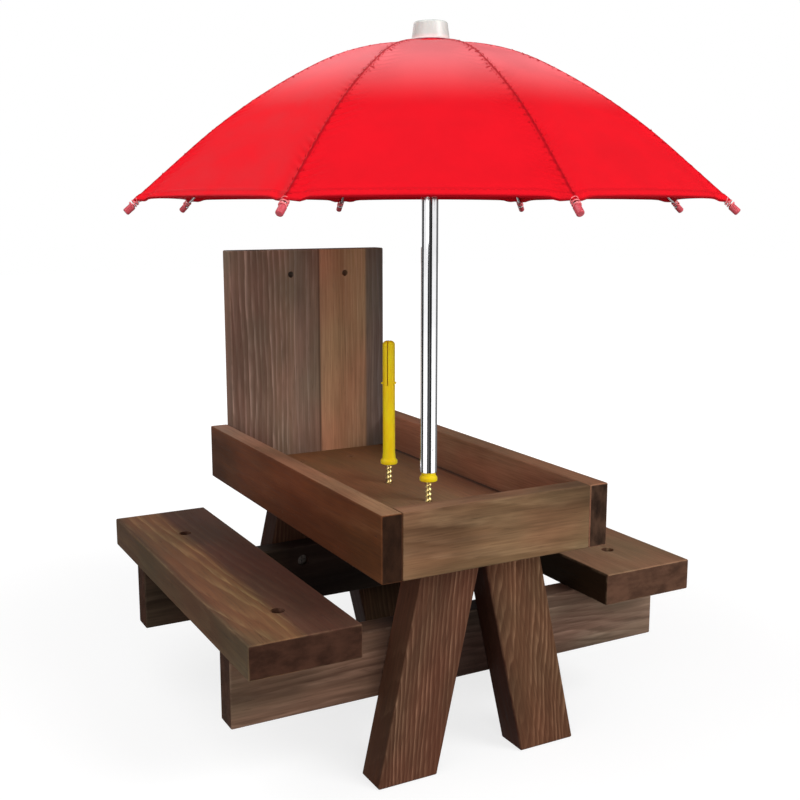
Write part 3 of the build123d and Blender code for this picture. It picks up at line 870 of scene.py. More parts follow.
@dataclass
class Table:
    """Tray, backboard, benches, beams and legs."""

    left_bench_wood: StainedWood = StainedWood(
        base=(0.148, 0.074, 0.044), line=(0.260, 0.168, 0.090), shade=(0.088, 0.042, 0.025),
        sawn=(0.042, 0.018, 0.011), ring_gap=0.0058, line_width=0.55, line_share=0.9, band_share=0.55,
        strips=(
            (0.0, (0.80, 0.96, 0.99, 1.0)), (0.03, (0.86, 0.92, 0.92, 1.0)), (0.08, (1.16, 1.15, 1.05, 1.0)),
            (0.42, (1.32, 1.28, 1.06, 1.0)), (0.52, (0.69, 0.63, 0.70, 0.3)), (1.0, (0.64, 0.59, 0.68, 0.12)),
        ),
    )
    right_bench_wood: StainedWood = StainedWood(
        base=(0.243, 0.144, 0.083), line=(0.322, 0.212, 0.132), shade=(0.160, 0.089, 0.052),
        sawn=(0.080, 0.039, 0.024), ring_gap=0.0052, line_width=0.5, line_share=0.6, band_share=0.6,
        # Painted shade: the bench's inner side, in the shadow under the tray, is near black and shows no
        # growth lines.
        strips=((0.0, (0.08, 0.07, 0.06, 0.0)), (0.012, (0.12, 0.11, 0.09, 0.0)), (0.03, 1.0)),
    )
    left_rail_wood: StainedWood = StainedWood(
        base=(0.125, 0.040, 0.0160), line=(0.175, 0.074, 0.038), shade=(0.078, 0.026, 0.011),
        sawn=(0.022, 0.0095, 0.005), ring_gap=0.0075, line_width=0.7, line_share=0.3, band_share=0.55,
        band_scale=24.0, cloud_depth=0.28, painted_top_light=(2.6, 4.3, 6.0),
        stretches=((0.0, (1.04, 1.02, 1.0)), (0.5, (0.98, 0.98, 1.0)), (1.0, (0.80, 0.86, 1.1))),
    )
    right_rail_wood: StainedWood = StainedWood(
        # Painted light: lighter than the left rail's timber, standing in for light missing on its inner face
        # in the canopy's shade.
        base=(0.290, 0.140, 0.083), line=(0.370, 0.200, 0.125), shade=(0.210, 0.097, 0.056),
        sawn=(0.040, 0.021, 0.013), ring_gap=0.0075, line_width=0.7, line_share=0.3, band_share=0.55,
        band_scale=24.0, cloud_depth=0.16, painted_top_light=(0.92, 0.98, 0.94), sawn_depth=0.62,
    )
    front_rail_wood: StainedWood = StainedWood(
        base=(0.160, 0.092, 0.048), line=(0.270, 0.172, 0.098), shade=(0.078, 0.042, 0.024),
        ring_gap=0.0062, line_width=0.8, line_share=0.65, band_share=0.95, band_scale=34.0, cloud_depth=0.30,
        painted_top_light=(1.9, 2.0, 2.1),
        strips=(
            (0.0, (0.98, 0.98, 0.95, 1.0)), (0.20, (1.12, 1.12, 1.10, 1.0)), (0.32, (1.16, 1.16, 1.16, 1.0)),
            (0.44, (0.92, 0.92, 0.92, 1.0)), (0.80, (0.96, 0.95, 0.92, 1.0)), (1.0, (1.05, 1.05, 1.02, 1.0)),
        ),
    )
    left_leg_wood: StainedWood = StainedWood(
        base=(0.099, 0.041, 0.024), line=(0.265, 0.140, 0.086), shade=(0.060, 0.025, 0.015),
        ring_gap=0.0025, line_width=0.45, line_share=0.9, band_share=0.5, waviness=1.5,
    )
    right_leg_wood: StainedWood = StainedWood(
        base=(0.090, 0.041, 0.022), line=(0.265, 0.146, 0.084), shade=(0.054, 0.024, 0.014),
        ring_gap=0.0028, line_width=0.5, line_share=1.0, band_share=0.5, waviness=1.9,
        # Painted shade: the leg's left side face, which lies in shadow under the tray, is darkened to about
        # half.
        strips=((0.0, (0.55, 0.42, 0.48, 0.3)), (0.012, (0.6, 0.5, 0.55, 0.3)), (0.03, 1.0)),
    )
    beam_wood: StainedWood = StainedWood(
        base=(0.170, 0.111, 0.078), line=(0.270, 0.186, 0.137), shade=(0.082, 0.050, 0.035),
        ring_gap=0.0046, line_width=0.7, line_share=0.75, band_share=0.9, band_scale=70.0, waviness=1.3,
        # Painted shade along the beam: darker under the left bench, near black between the legs; the rear
        # beam gets it too.
        stretches=(
            (0.0, (0.70, 0.66, 0.62)), (0.28, (0.70, 0.66, 0.62)), (0.36, (0.24, 0.22, 0.24)),
            (0.63, (0.24, 0.22, 0.24)), (0.70, 1.0), (1.0, (1.08, 1.10, 1.10)),
        ),
    )
    floor_wood: StainedWood = StainedWood(
        # Painted light: the floor's stain is lighter than the benches' to stand in for light that the
        # canopy's shade takes away.
        base=(0.245, 0.126, 0.065), line=(0.300, 0.168, 0.088), shade=(0.175, 0.085, 0.045),
        ring_gap=0.0075, line_width=0.7, line_share=0.3, band_share=0.5, band_scale=30.0,
        # Painted shadow: a dark strip along the corner where the floor meets the right rail.
        strips=((0.0, 1.0), (0.955, 1.0), (0.975, (0.32, 0.28, 0.25, 0.3)), (1.0, (0.14, 0.12, 0.11, 0.0))),
        # Painted light and shade along the floor: lighter towards one end, darker towards the other, to even
        # out the light over the tray.
        stretches=((0.0, (1.34, 1.46, 1.66)), (0.45, 1.0), (1.0, (0.83, 0.80, 0.70))),
    )
    back_wood: StainedWood = StainedWood(
        # Painted light: lighter than the other boards, standing in for the light that the canopy's shade
        # keeps off the backboard.
        base=(0.215, 0.134, 0.088), line=(0.440, 0.310, 0.235), shade=(0.126, 0.076, 0.054),
        ring_gap=0.0042, line_width=0.45, line_share=0.9, band_share=0.6, patch_range=(0.24, 0.46),
        cloud_depth=0.16,
        strips=(
            (0.0, (1.02, 1.03, 1.10, 1.0)), (0.36, (1.12, 1.16, 1.20, 1.0)), (0.42, (1.17, 1.27, 1.38, 0.35)),
            (0.552, (1.14, 1.16, 1.20, 0.25)), (0.563, (0.57, 0.54, 0.57, 0.15)),
            (0.575, (1.82, 1.58, 1.37, 0.2)), (0.70, (1.76, 1.56, 1.26, 0.2)),
            (0.87, (1.61, 1.50, 1.26, 0.25)), (0.885, (0.76, 0.88, 1.00, 0.3)),
            (1.0, (0.54, 0.68, 0.89, 0.4)),
        ),
    )
    # Painted shade: the rear beam and rear legs take their timber's tones times this factor, for the shade
    # under the tray.
    rear_shade: float = 0.42
    first_seed: float = 11.0
    seed_step: float = 4.7
    unmirrored: tuple = ("tray_floor", "left_tray_rail", "right_tray_rail", "front_tray_rail")

    def boards(self) -> list[Board]:
        """Every board with its timber.

        Returns:
            The boards.
        """
        upright_y, flat_y = Grain.ALONG_Y_UPRIGHT, Grain.ALONG_Y_FLAT
        upright_x, upright_z = Grain.ALONG_X_UPRIGHT, Grain.ALONG_Z_UPRIGHT
        boards = [
            Board("tray_floor", flat_y, self.floor_wood, Cut((0.02, -0.11))),
            Board("left_tray_rail", upright_y, self.left_rail_wood, Cut((0.03, 0.09))),
            Board("right_tray_rail", upright_y, self.right_rail_wood, Cut((-0.05, 0.07), 0.05)),
            Board("front_tray_rail", upright_x, self.front_rail_wood, Cut((0.055, 0.07), 0.06)),
            Board("backboard", upright_z, self.back_wood, Cut((0.17, 0.03), 0.02)),
            Board("left_bench_seat", flat_y, self.left_bench_wood, Cut((0.035, -0.012), 0.05, 0.10)),
            Board("right_bench_seat", flat_y, self.right_bench_wood, Cut((-0.05, -0.06), -0.06)),
            Board("front_cross_beam", upright_x, self.beam_wood, Cut((-0.05, 0.03), 0.05)),
            Board("rear_cross_beam", upright_x, self.shaded_copy(self.beam_wood), Cut((0.06, -0.04), -0.03)),
        ]
        legs = (("left", 1, self.left_leg_wood, 0.02), ("right", -1, self.right_leg_wood, 0.12))
        for side, sign, wood, dip in legs:
            front = Cut((0.06 * sign, 0.02), 0.17 * sign, dip)
            rear = Cut((-0.07 * sign, 0.02), 0.17 * sign, dip)
            boards.append(Board(f"front_{side}_leg", upright_z, wood, front, sign * LEG_LEAN))
            boards.append(Board(f"rear_{side}_leg", upright_z, self.shaded_copy(wood), rear, sign * LEG_LEAN))
        return boards

    def shaded_copy(self, wood: StainedWood) -> StainedWood:
        """The same timber painted with shade, as the boards at the back under the tray have it.

        Args:
            wood: the timber.

        Returns:
            Its copy with painted shade.
        """
        tones = (wood.base, wood.line, wood.shade)
        base, line, shade = (tuple(self.rear_shade * part for part in tone) for tone in tones)
        return replace(wood, base=base, line=line, shade=shade)

    def build(self) -> None:
        """Dresses every board, and keeps the tray out of the chrome pole, which mirrors the stage alone."""
        for number, board in enumerate(self.boards()):
            board.finish(self.first_seed + self.seed_step * number)
        for name in self.unmirrored:
            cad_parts[name].visible_glossy = False


@dataclass
class Fasteners:
    """Screws and brads of the table, and the two threaded screws that carry the pegs."""

    crest_radius: float = 0.0020
    core_radius: float = 0.00135
    pitch: float = 0.0030
    flanks: tuple[float, float, float] = (0.30, 0.56, 0.68)
    head_radius: float = 0.0040
    head_height: float = 0.0024
    neck_share: float = 0.98
    recess: tuple[float, float, float] = (1.25, 0.28, 0.9)
    weld_gap: float = 0.00001
    steps_round: int = 40
    steel: PlatedMetal = PlatedMetal(
        "dark_steel_screw", (0.10, 0.085, 0.075), (0.035, 0.026, 0.02), (0.34, 0.55),
    )
    floor_filler: Plastic = Plastic(
        "floor_screw_filler", (0.250, 0.128, 0.066), (0.215, 0.108, 0.056), (0.6, 0.8),
        grit=1400.0, relief=0.0001, specular=0.05,
    )
    rail_filler: Plastic = Plastic(
        "rail_brad_filler", (0.095, 0.036, 0.018), (0.062, 0.023, 0.012), (0.6, 0.8),
        grit=1400.0, relief=0.0001, specular=0.05,
    )
    gold: PlatedMetal = PlatedMetal(
        "yellow_zinc_thread", (0.80, 0.60, 0.24), (0.42, 0.27, 0.09), (0.20, 0.36),
    )

    def thread(self, low: float, high: float) -> Piece:
        """A coarse helical thread with its core, about the Z axis.

        Args:
            low: height where the thread starts.
            high: height where it ends.

        Returns:
            The threaded shank.
        """
        start, rise, fall = (share * self.pitch for share in self.flanks)
        core, crest = self.core_radius, self.crest_radius
        outline = [(core, 0.0), (core, start), (crest, rise), (crest, fall), (core, self.pitch)]
        piece = Workbench.add(bpy.ops.mesh.primitive_plane_add, "thread", size=1.0)
        with Workbench.editing(piece):
            bpy.ops.mesh.merge(type="CENTER")
            bpy.ops.transform.translate(value=(core, 0, low))
            for (radius, height), (next_radius, next_height) in zip(outline, outline[1:]):
                step = (next_radius - radius, 0, next_height - height)
                bpy.ops.mesh.extrude_vertices_move(TRANSFORM_OT_translate={"value": step})
        turns = int((high - low) / self.pitch)
        Workbench.modify(piece, "SCREW", axis="Z", screw_offset=self.pitch, iterations=turns,
                         steps=self.steps_round, render_steps=self.steps_round, use_merge_vertices=True,
                         merge_threshold=self.weld_gap, use_smooth_shade=True)
        return piece

    def shank(self, low: float, high: float) -> Piece:
        """A countersunk head with a cross recess and a plain shank above it.

        Args:
            low: height of the flat of the head.
            high: height where the shank ends.

        Returns:
            The head and shank.
        """
        middle = (0, 0, low)
        neck = self.neck_share * self.core_radius / self.head_radius
        piece = Workbench.add(bpy.ops.mesh.primitive_circle_add, "shank", vertices=48,
                              radius=self.head_radius, fill_type="NGON", location=middle)
        with Workbench.editing(piece):
            for rise, shrink in ((self.head_height, neck), (high - low - self.head_height, 1.0)):
                bpy.ops.mesh.extrude_region_move(TRANSFORM_OT_translate={"value": (0, 0, rise)})
                bpy.ops.transform.resize(value=(shrink, shrink, 1.0), center_override=middle)
            bpy.ops.mesh.select_all(action="SELECT")
            bpy.ops.mesh.remove_doubles(threshold=self.weld_gap)
            bpy.ops.mesh.normals_make_consistent(inside=False)
        sizes = (self.head_radius, self.head_radius, self.head_height)
        slot = [share * size for share, size in zip(self.recess, sizes)]
        for turn in (0.0, pi / 2):
            blade = Workbench.add(bpy.ops.mesh.primitive_cube_add, "recess", slot, size=1.0, location=middle,
                                  rotation=(0, 0, turn))
            Workbench.modify(piece, "BOOLEAN", operation="DIFFERENCE", object=blade, solver="EXACT")
            bpy.data.objects.remove(blade)
        return piece

    def peg_screw(self) -> Piece:
        """One peg screw on the Z axis, at the height where it sits under a peg.

        Returns:
            The screw.
        """
        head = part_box("peg_screws")[0].z
        floor_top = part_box("tray_floor")[1].z
        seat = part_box("corn_peg")[0].z
        thread = self.thread(floor_top - 2 * self.pitch, seat + 3 * self.pitch)
        shank = self.shank(head, seat + 2 * self.pitch)
        screw = Workbench.join([thread, shank], "peg_screw")
        Workbench.smooth(screw, degrees=38.0)
        dress(screw, self.gold.make())
        return screw

    def build(self) -> None:
        """Dresses the table's fasteners and makes the peg screws with true threads."""
        steel = self.steel.make()
        for node in ("bench_screws", "leg_screws"):
            dress(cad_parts[node], steel)
        for node, filler in (("floor_screws", self.floor_filler), ("rail_brads", self.rail_filler)):
            dress(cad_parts[node], filler.make())
        model = self.peg_screw()
        copies = []
        for node in ("umbrella_peg", "corn_peg"):
            low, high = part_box(node)
            middle = (low + high) / 2
            copies.append(Workbench.copy(model, f"{node}_screw", Matrix.Translation((middle.x, middle.y, 0))))
        bpy.data.objects.remove(model)
        screws = Workbench.join(copies, "gold_peg_screws")
        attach(screws, "table")
        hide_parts("peg_screws")
        log.info("peg screws threaded")


@dataclass
class Pegs:
    """The two yellow plugs."""

    yellow: Plastic = Plastic(
        "yellow_nylon", (1.0, 0.76, 0.010), (0.98, 0.64, 0.007), (0.30, 0.44), subsurface=0.3,
    )

    def build(self) -> None:
        """Dresses the plugs."""
        material = self.yellow.make()
        for node in ("corn_peg", "umbrella_peg"):
            dress(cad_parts[node], material)
        log.info("pegs dressed")


@dataclass
class UmbrellaFrame:
    """Pole, hubs, rings, ribs with their tip caps, stretchers and top cap."""

    cap_reach: float = 0.1645
    chrome: PlatedMetal = PlatedMetal(
        "bright_chrome", (0.86, 0.86, 0.87), (0.70, 0.70, 0.72), (0.035, 0.07),
        relief=0.000002, stain_share=0.25,
    )
    wire: PlatedMetal = PlatedMetal("plated_wire", (0.58, 0.58, 0.59), (0.33, 0.31, 0.30), (0.22, 0.38))
    white: Plastic = Plastic("white_hub_plastic", (0.80, 0.80, 0.77), (0.70, 0.70, 0.67))
    milky: Plastic = Plastic(
        "milky_cap_plastic", (0.66, 0.68, 0.65), (0.56, 0.58, 0.55), (0.20, 0.30), subsurface=0.1, coat=0.2,
        # Painted at the cap's foot: a pink band for the red cloth's reflection, and below it a dark red line
        # for the shadow where the cap meets the cloth.
        bands=((0.3952, 0.3976, (0.78, 0.63, 0.61)), (0.3943, 0.3950, (0.22, 0.010, 0.035))),
    )
    tip_red: Plastic = Plastic(
        "red_tip_plastic", (0.62, 0.085, 0.110), (0.46, 0.045, 0.062), (0.25, 0.38), coat=0.2,
    )

    def dress_rib(self, node: str, wire: Material, tip: Material) -> None:
        """Gives a rib its wire and the cap on its tip its plastic.

        Args:
            node: name of the rib.
            wire: finish of the wire.
            tip: finish of the cap.
        """
        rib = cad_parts[node]
        dress(rib, wire, tip)
        for face in rib.data.polygons:
            face.material_index = int(face.center.xy.length > self.cap_reach)

    def build(self) -> None:
        """Dresses the whole frame."""
        wire = self.wire.make()
        tip = self.tip_red.make()
        white = self.white.make()
        dress(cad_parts["umbrella_pole"], self.chrome.make())
        dress(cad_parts["umbrella_cap"], self.milky.make())
        for node in ("umbrella_crown", "umbrella_runner"):
            dress(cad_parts[node], white)
        for node in ("crown_ring", "runner_ring"):
            dress(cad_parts[node], wire)
        for number in range(1, RIB_COUNT + 1):
            self.dress_rib(f"rib_{number}", wire, tip)
            dress(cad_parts[f"stretcher_{number}"], wire)
        log.info("umbrella frame dressed")


@dataclass
class Canopy:
    """The sewn red canopy: sixteen half gores, their seam threads, the tip ties and the crown's collar."""

    rib_turn: float = radians(-7.5)
    pivot_radius: float = 0.0085
    inner_radius: float = 0.0095
    lead_in: float = 0.0035
    slopes: tuple[float, float, float] = (radians(2.0), radians(26.5), radians(41.0))
    bend_radii: tuple[float, float] = (0.130, 0.330)
    rim_radius: float = 0.163
    lift: float = 0.00195
    thickness: float = 0.00045
    hem_thickness: float = 0.0011
    scallop: float = 0.0012
    corner_reach: float = 0.0022
    corner_width: float = 0.0040
    sag: float = 0.0009
    seam_height: float = 0.00035
    seam_width: float = 0.0011
    pucker: float = 0.00075
    pucker_gap: float = 0.0056
    pucker_width: float = 0.0030
    pucker_start: float = 0.012
    pucker_fade: float = 0.030
    pucker_slant: float = 0.7
    phase_steps: Range = (1.9, 0.8)
    swell_length: float = 0.0085
    swell_depth: float = 0.45
    swell_phase: float = 2.1
    drift_length: float = 0.013
    drift_depth: float = 1.3
    tuck_depth: float = 0.0013
    tuck_place: float = 0.0065
    tuck_length: float = 0.011
    tuck_spread: float = 0.45
    rows: int = 190
    columns: int = 20
    column_grading: float = 1.7
    blend_width: float = 0.045
    stitch_offset: float = 0.0016
    stitch_gap: float = 0.0031
    stitch_length: float = 0.0021
    stitch_margins: tuple[float, float] = (0.012, 0.002)
    stitch_rise: float = 0.2
    look_ahead: float = 0.001
    thread_diameter: float = 0.00038
    tie_gap: float = 0.00085
    tie_radius: float = 0.0019
    tie_diameter: float = 0.00055
    tie_height: float = 0.35
    tie_leans: tuple[float, ...] = (-0.45, 0.35, -0.2, 0.45, -0.3)
    collar_hole: float = 0.0051
    collar_map: tuple[float, float] = (0.02, 0.04)
    collar_rings: tuple = (
        (0.0085, 0.0), (0.0110, -0.0001), (0.0126, -0.0003), (0.0135, -0.0008), (0.0143, -0.0014),
        (0.0149, -0.0019),
    )
    pleat_start: float = 0.0105
    pleat_width: float = 0.0045
    pleat_waves: tuple = ((24, 0.00022), (7, 0.0002))
    cloth: RedNylon = RedNylon()
    # Brightness of each gore: partly random tone of its cloth, partly painted light, lighter where the lamps
    # light less and darker on the best lit front gore.
    gore_tones_and_light: tuple[float, ...] = (1.0, 0.97, 1.02, 1.08, 1.17, 0.93, 0.98, 0.98)
    tie_thread: Plastic = Plastic(
        "pink_tie_thread", (0.86, 0.24, 0.25), (0.74, 0.14, 0.16), (0.55, 0.75), grit=2600.0,
    )
    seam_thread: Plastic = Plastic(
        "red_seam_thread", (0.62, 0.006, 0.014), (0.42, 0.003, 0.009), (0.5, 0.7), grit=2600.0, specular=0.04,
    )
    materials: list[Material] = field(default_factory=list)

    def __post_init__(self) -> None:
        """Works out the lengths of the profile's runs and the height of the rib pivots."""
        first, second, last = self.slopes
        self.half_step = pi / RIB_COUNT
        self.shoulder = (self.pivot_radius + self.lead_in, -self.lead_in * tan(first))
        self.bend_one = self.bend_end(self.shoulder, self.bend_radii[0], first, second)
        self.bend_two = self.bend_end(self.bend_one, self.bend_radii[1], second, last)
        self.runs = (
            self.shoulder[0] - self.inner_radius,
            self.bend_radii[0] * (second - first),
            self.bend_radii[1] * (last - second),
            (self.rim_radius - self.bend_two[0]) / cos(last),
        )
        self.rim_length = sum(self.runs)
        low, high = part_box("crown_ring")
        self.pivot_height = (low.z + high.z) / 2

    @staticmethod
    def bend_end(start: tuple, radius: float, slope: float, end_slope: float) -> tuple[float, float]:
        """Where a downward bend reaches a slope.

        Args:
            start: radius and height where the bend starts.
            radius: radius of the bend.
            slope: slope at its start.
            end_slope: slope to reach.

        Returns:
            Radius and height there.
        """
        run = radius * (sin(end_slope) - sin(slope))
        fall = radius * (cos(slope) - cos(end_slope))
        return (start[0] + run, start[1] - fall)

    def profile(self, length: float) -> tuple[float, float, float]:
        """The cloth's line along a rib.

        Args:
            length: distance along it from the inner edge.

        Returns:
            Radius, height above the rib pivots and slope there.
        """
        first, second, last = self.slopes
        lead, bend, outer, _ = self.runs
        if length <= lead:
            return (self.inner_radius + length, self.shoulder[1] * length / lead, first)
        length -= lead
        if length <= bend:
            slope = first + length / self.bend_radii[0]
            return (*self.bend_end(self.shoulder, self.bend_radii[0], first, slope), slope)
        length -= bend
        if length <= outer:
            slope = second + length / self.bend_radii[1]
            return (*self.bend_end(self.bend_one, self.bend_radii[1], second, slope), slope)
        length -= outer
        return (self.bend_two[0] + length * cos(last), self.bend_two[1] - length * sin(last), last)

    def rim_at(self, across: float) -> float:
        """Length along the cloth to its scalloped rim.

        Args:
            across: 0 at the rib, 1 at the middle of the gore.

        Returns:
            The length from the inner edge.
        """
        away = across * self.rim_radius * sin(self.half_step)
        bow = self.scallop * (1 - (1 - across) ** 2)
        return self.rim_length - bow + self.corner_reach * exp(-away / self.corner_width)

    def phase(self, number: int, side: Side) -> float:
        """Where the wave of a seam's puckers starts."""
        per_rib, per_side = self.phase_steps
        return per_rib * number + per_side * side.value

    def relief(self, length: float, away: float, across: float, phase: float) -> float:
        """How far the cloth stands off its flat gore: seam ridge, puckers, sag and the tuck at each corner.

        Args:
            length: distance along the cloth from its inner edge.
            away: distance from the seam.
            across: 0 at the rib, 1 at the middle of the gore.
            phase: where this seam's puckers start.

        Returns:
            The height, in metres.
        """
        grip = min(1.0, max(0.0, (length - self.pucker_start) / self.pucker_fade))
        beat = sin(length / self.swell_length + self.swell_phase * phase)
        swell = 1.0 - self.swell_depth + self.swell_depth * beat
        drift = phase + self.drift_depth * sin(length / self.drift_length + phase)
        wave = sin(2 * pi * (length + self.pucker_slant * away) / self.pucker_gap + drift)
        fold = away / self.pucker_width
        ripple = self.pucker * grip * swell * wave * fold * exp(1 - fold)
        ridge = self.seam_height * exp(-(away / self.seam_width) ** 2)
        share = min(length / self.rim_length, 1.0)
        dip = self.sag * sin(pi * share) * (1 - (1 - across) ** 2)
        spread = ((away - self.tuck_place) / (self.tuck_spread * self.tuck_place)) ** 2
        tuck = self.tuck_depth * exp(-spread - max(0.0, self.rim_length - length) / self.tuck_length)
        return ridge + ripple * (1 - across) - dip - tuck

    def point(self, length: float, across: float, rib_angle: float, side: Side,
              phase: float) -> tuple[Vector, Vector]:
        """A point of the cloth and the way it faces.

        Args:
            length: distance along the cloth from its inner edge.
            across: 0 at the rib, 1 at the middle of the gore.
            rib_angle: direction of the rib.
            side: which side of the rib.
            phase: where this seam's puckers start.

        Returns:
            The point and the outward direction.
        """
        radius, rise, slope = self.profile(length)
        middle_angle = rib_angle + side.value * self.half_step
        rib_way = Vector((cos(rib_angle), sin(rib_angle), 0))
        middle_way = Vector((cos(middle_angle), sin(middle_angle), 0))
        flat = (rib_way * (1 - across) + middle_way * (across * cos(self.half_step))) * radius
        flat.z = self.pivot_height + rise + self.lift
        level = (rib_way * (1 - across) + middle_way * across).normalized()
        outward = level * sin(slope) + Vector((0, 0, cos(slope)))
        away = across * radius * sin(self.half_step)
        return flat + outward * self.relief(length, away, across, phase), outward

    def shape(self, piece: Piece, rib_angle: float, side: Side, phase: float) -> float:
        """Bends a flat grid to half a gore, maps it in metres and thickens it, most at the hem.

        Args:
            piece: the grid.
            rib_angle: direction of the rib.
            side: which side of the rib.
            phase: where this seam's puckers start.

        Returns:
            The area of the cloth.
        """
        mesh = piece.data
        spots = []
        for corner in mesh.vertices:
            across = (corner.co.x + 0.5) ** self.column_grading
            length = (corner.co.y + 0.5) * self.rim_at(across)
            radius = self.profile(length)[0]
            spots.append((across * radius * sin(self.half_step), self.rim_at(across) - length))
            corner.co, _ = self.point(length, across, rib_angle, side, phase)
        for loop, stretch in zip(mesh.loops, mesh.uv_layers.active.data):
            stretch.uv = spots[loop.vertex_index]
        area = Workbench.face_up(mesh)
        hem = piece.vertex_groups.new(name="hem")
        for corner, (_, up) in zip(mesh.vertices, spots):
            hem.add([corner.index], 1.0 if up < self.cloth.hem_width else 0.0, "REPLACE")
        Workbench.modify(piece, "SOLIDIFY", thickness=self.hem_thickness, offset=0.0, vertex_group="hem",
                         thickness_vertex_group=self.thickness / self.hem_thickness, use_rim=True)
        Workbench.smooth(piece, degrees=40.0)
        return area

    def half_gore(self, number: int, side: Side) -> None:
        """One half of a gore, from its rib to the middle of the gore.

        Args:
            number: number of the rib it is sewn to.
            side: which side of the rib.
        """
        rib_angle = self.rib_turn + (number - 1) * 2 * self.half_step
        gore = number if side is Side.LEFT else (number - 2) % RIB_COUNT + 1
        name = f"canopy_gore_{gore}_{side.name.lower()}"
        piece = Workbench.add(bpy.ops.mesh.primitive_grid_add, f"{name}_cloth", x_subdivisions=self.columns,
                              y_subdivisions=self.rows, size=1.0)
        area = self.shape(piece, rib_angle, side, self.phase(number, side))
        dress(piece, self.materials[gore - 1])
        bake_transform(piece)
        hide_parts(name)
        log.info("cloth %s, %.1f square centimetres", name, area * 10000)

    def seam_row(self) -> Piece:
        """Two rows of stitches along the seam of the first rib.

        Returns:
            The stitches as one piece.
        """
        size = (self.stitch_length, self.thread_diameter, self.thread_diameter)
        stitch = Workbench.add(bpy.ops.mesh.primitive_uv_sphere_add, "stitch", size, segments=6, ring_count=4,
                               radius=0.5)
        start, margin = self.stitch_margins
        lift = self.thickness / 2 + self.stitch_rise * self.thread_diameter
        copies = []
        for side in Side:
            phase = self.phase(1, side)
            length = start
            while length < self.rim_length - margin:
                across = min(1.0, self.stitch_offset / (self.profile(length)[0] * sin(self.half_step)))
                here, outward = self.point(length, across, self.rib_turn, side, phase)
                ahead, _ = self.point(length + self.look_ahead, across, self.rib_turn, side, phase)
                along = (ahead - here).normalized()
                turn = Matrix((along, outward.cross(along), outward)).transposed().to_4x4()
                move = Matrix.Translation(here + outward * lift) @ turn
                copies.append(Workbench.copy(stitch, "stitch", move))
                length += self.stitch_gap
        bpy.data.objects.remove(stitch)
        return Workbench.join(copies, "seam_row")

    def tip_tie(self) -> Piece:
        """Wraps of thread that tie a corner of the cloth to the tip of the first rib.

        Returns:
            The wraps as one piece.
        """
        wraps = []
        way = Vector((cos(self.rib_turn), sin(self.rib_turn), 0))
        for index, lean in enumerate(self.tie_leans):
            radius, rise, slope = self.profile(self.rim_length + self.tie_gap * index)
            middle = way * radius + Vector((0, 0, self.pivot_height + rise + self.tie_height * self.lift))
            along = way * cos(slope) - Vector((0, 0, sin(slope)))
            turn = along.to_track_quat("Z", "Y").to_matrix().to_4x4() @ Matrix.Rotation(lean, 4, "X")
            wrap = Workbench.add(bpy.ops.mesh.primitive_torus_add, "wrap", major_radius=self.tie_radius,
                                 minor_radius=self.tie_diameter / 2, major_segments=28, minor_segments=8)
            wrap.data.transform(Matrix.Translation(middle) @ turn)
            wraps.append(wrap)
        return Workbench.join(wraps, "tip_tie")

    def threads(self) -> None:
        """Sews every seam and ties every tip."""
        row = self.seam_row()
        tie = self.tip_tie()
        row_finish = self.seam_thread.make()
        tie_finish = self.tie_thread.make()
        for number in range(1, RIB_COUNT + 1):
            turn = Matrix.Rotation((number - 1) * 2 * self.half_step, 4, "Z")
            for model, name, finish in ((row, "seam_thread", row_finish), (tie, "tip_tie", tie_finish)):
                piece = Workbench.copy(model, f"{name}_{number}", turn)
                Workbench.smooth(piece, degrees=60.0)
                dress(piece, finish)
                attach(piece, f"rib_{number}_body")
        for model in (row, tie):
            bpy.data.objects.remove(model)
        log.info("seams and tips sewn")

    def collar(self) -> None:
        """The gathered round of cloth under the cap."""
        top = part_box("top_rosette")[1].z
        radius, level = self.collar_hole, 0.0
        piece = Workbench.add(bpy.ops.mesh.primitive_circle_add, "crown_collar", vertices=128, radius=radius,
                              fill_type="NOTHING", location=(0, 0, top))
        with Workbench.editing(piece):
            for wide, drop in self.collar_rings:
                bpy.ops.mesh.extrude_edges_move(TRANSFORM_OT_translate={"value": (0, 0, drop - level)})
                bpy.ops.transform.resize(value=(wide / radius, wide / radius, 1.0), center_override=(0, 0, 0))
                radius, level = wide, drop
        mesh = piece.data
        for corner in mesh.vertices:
            angle = Vector((1, 0)).angle_signed(corner.co.xy)
            pleat = max(0.0, corner.co.xy.length - self.pleat_start) / self.pleat_width
            corner.co.z += sum(height * pleat * sin(count * angle) for count, height in self.pleat_waves)
        area = Workbench.face_up(mesh)
        mesh.uv_layers.new(name="metres")
        for loop, spot in zip(mesh.loops, mesh.uv_layers.active.data):
            edge = mesh.vertices[loop.vertex_index].co
            spot.uv = edge.xy + Vector(self.collar_map)
        Workbench.modify(piece, "SUBSURF", levels=1, render_levels=1)
        Workbench.modify(piece, "SOLIDIFY", thickness=self.thickness, offset=0.0)
        Workbench.smooth(piece, degrees=50.0)
        dress(piece, self.materials[0])
        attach(piece, "umbrella")
        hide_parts("top_rosette")

    def build(self) -> None:
        """Makes the whole canopy."""
        self.materials = [self.cloth.make(number, tone) for number, tone in enumerate(self.gore_tones_and_light, 1)]
        for number in range(1, RIB_COUNT + 1):
            for side in Side:
                self.half_gore(number, side)
        self.collar()
        self.threads()


class SkySheet(NodeSheet):
    """The node tree of the surroundings."""

    def __init__(self, name: str) -> None:
        """Starts an empty world."""
        self.world = bpy.data.worlds.new(name)
        self.start(self.world, "ShaderNodeOutputWorld")


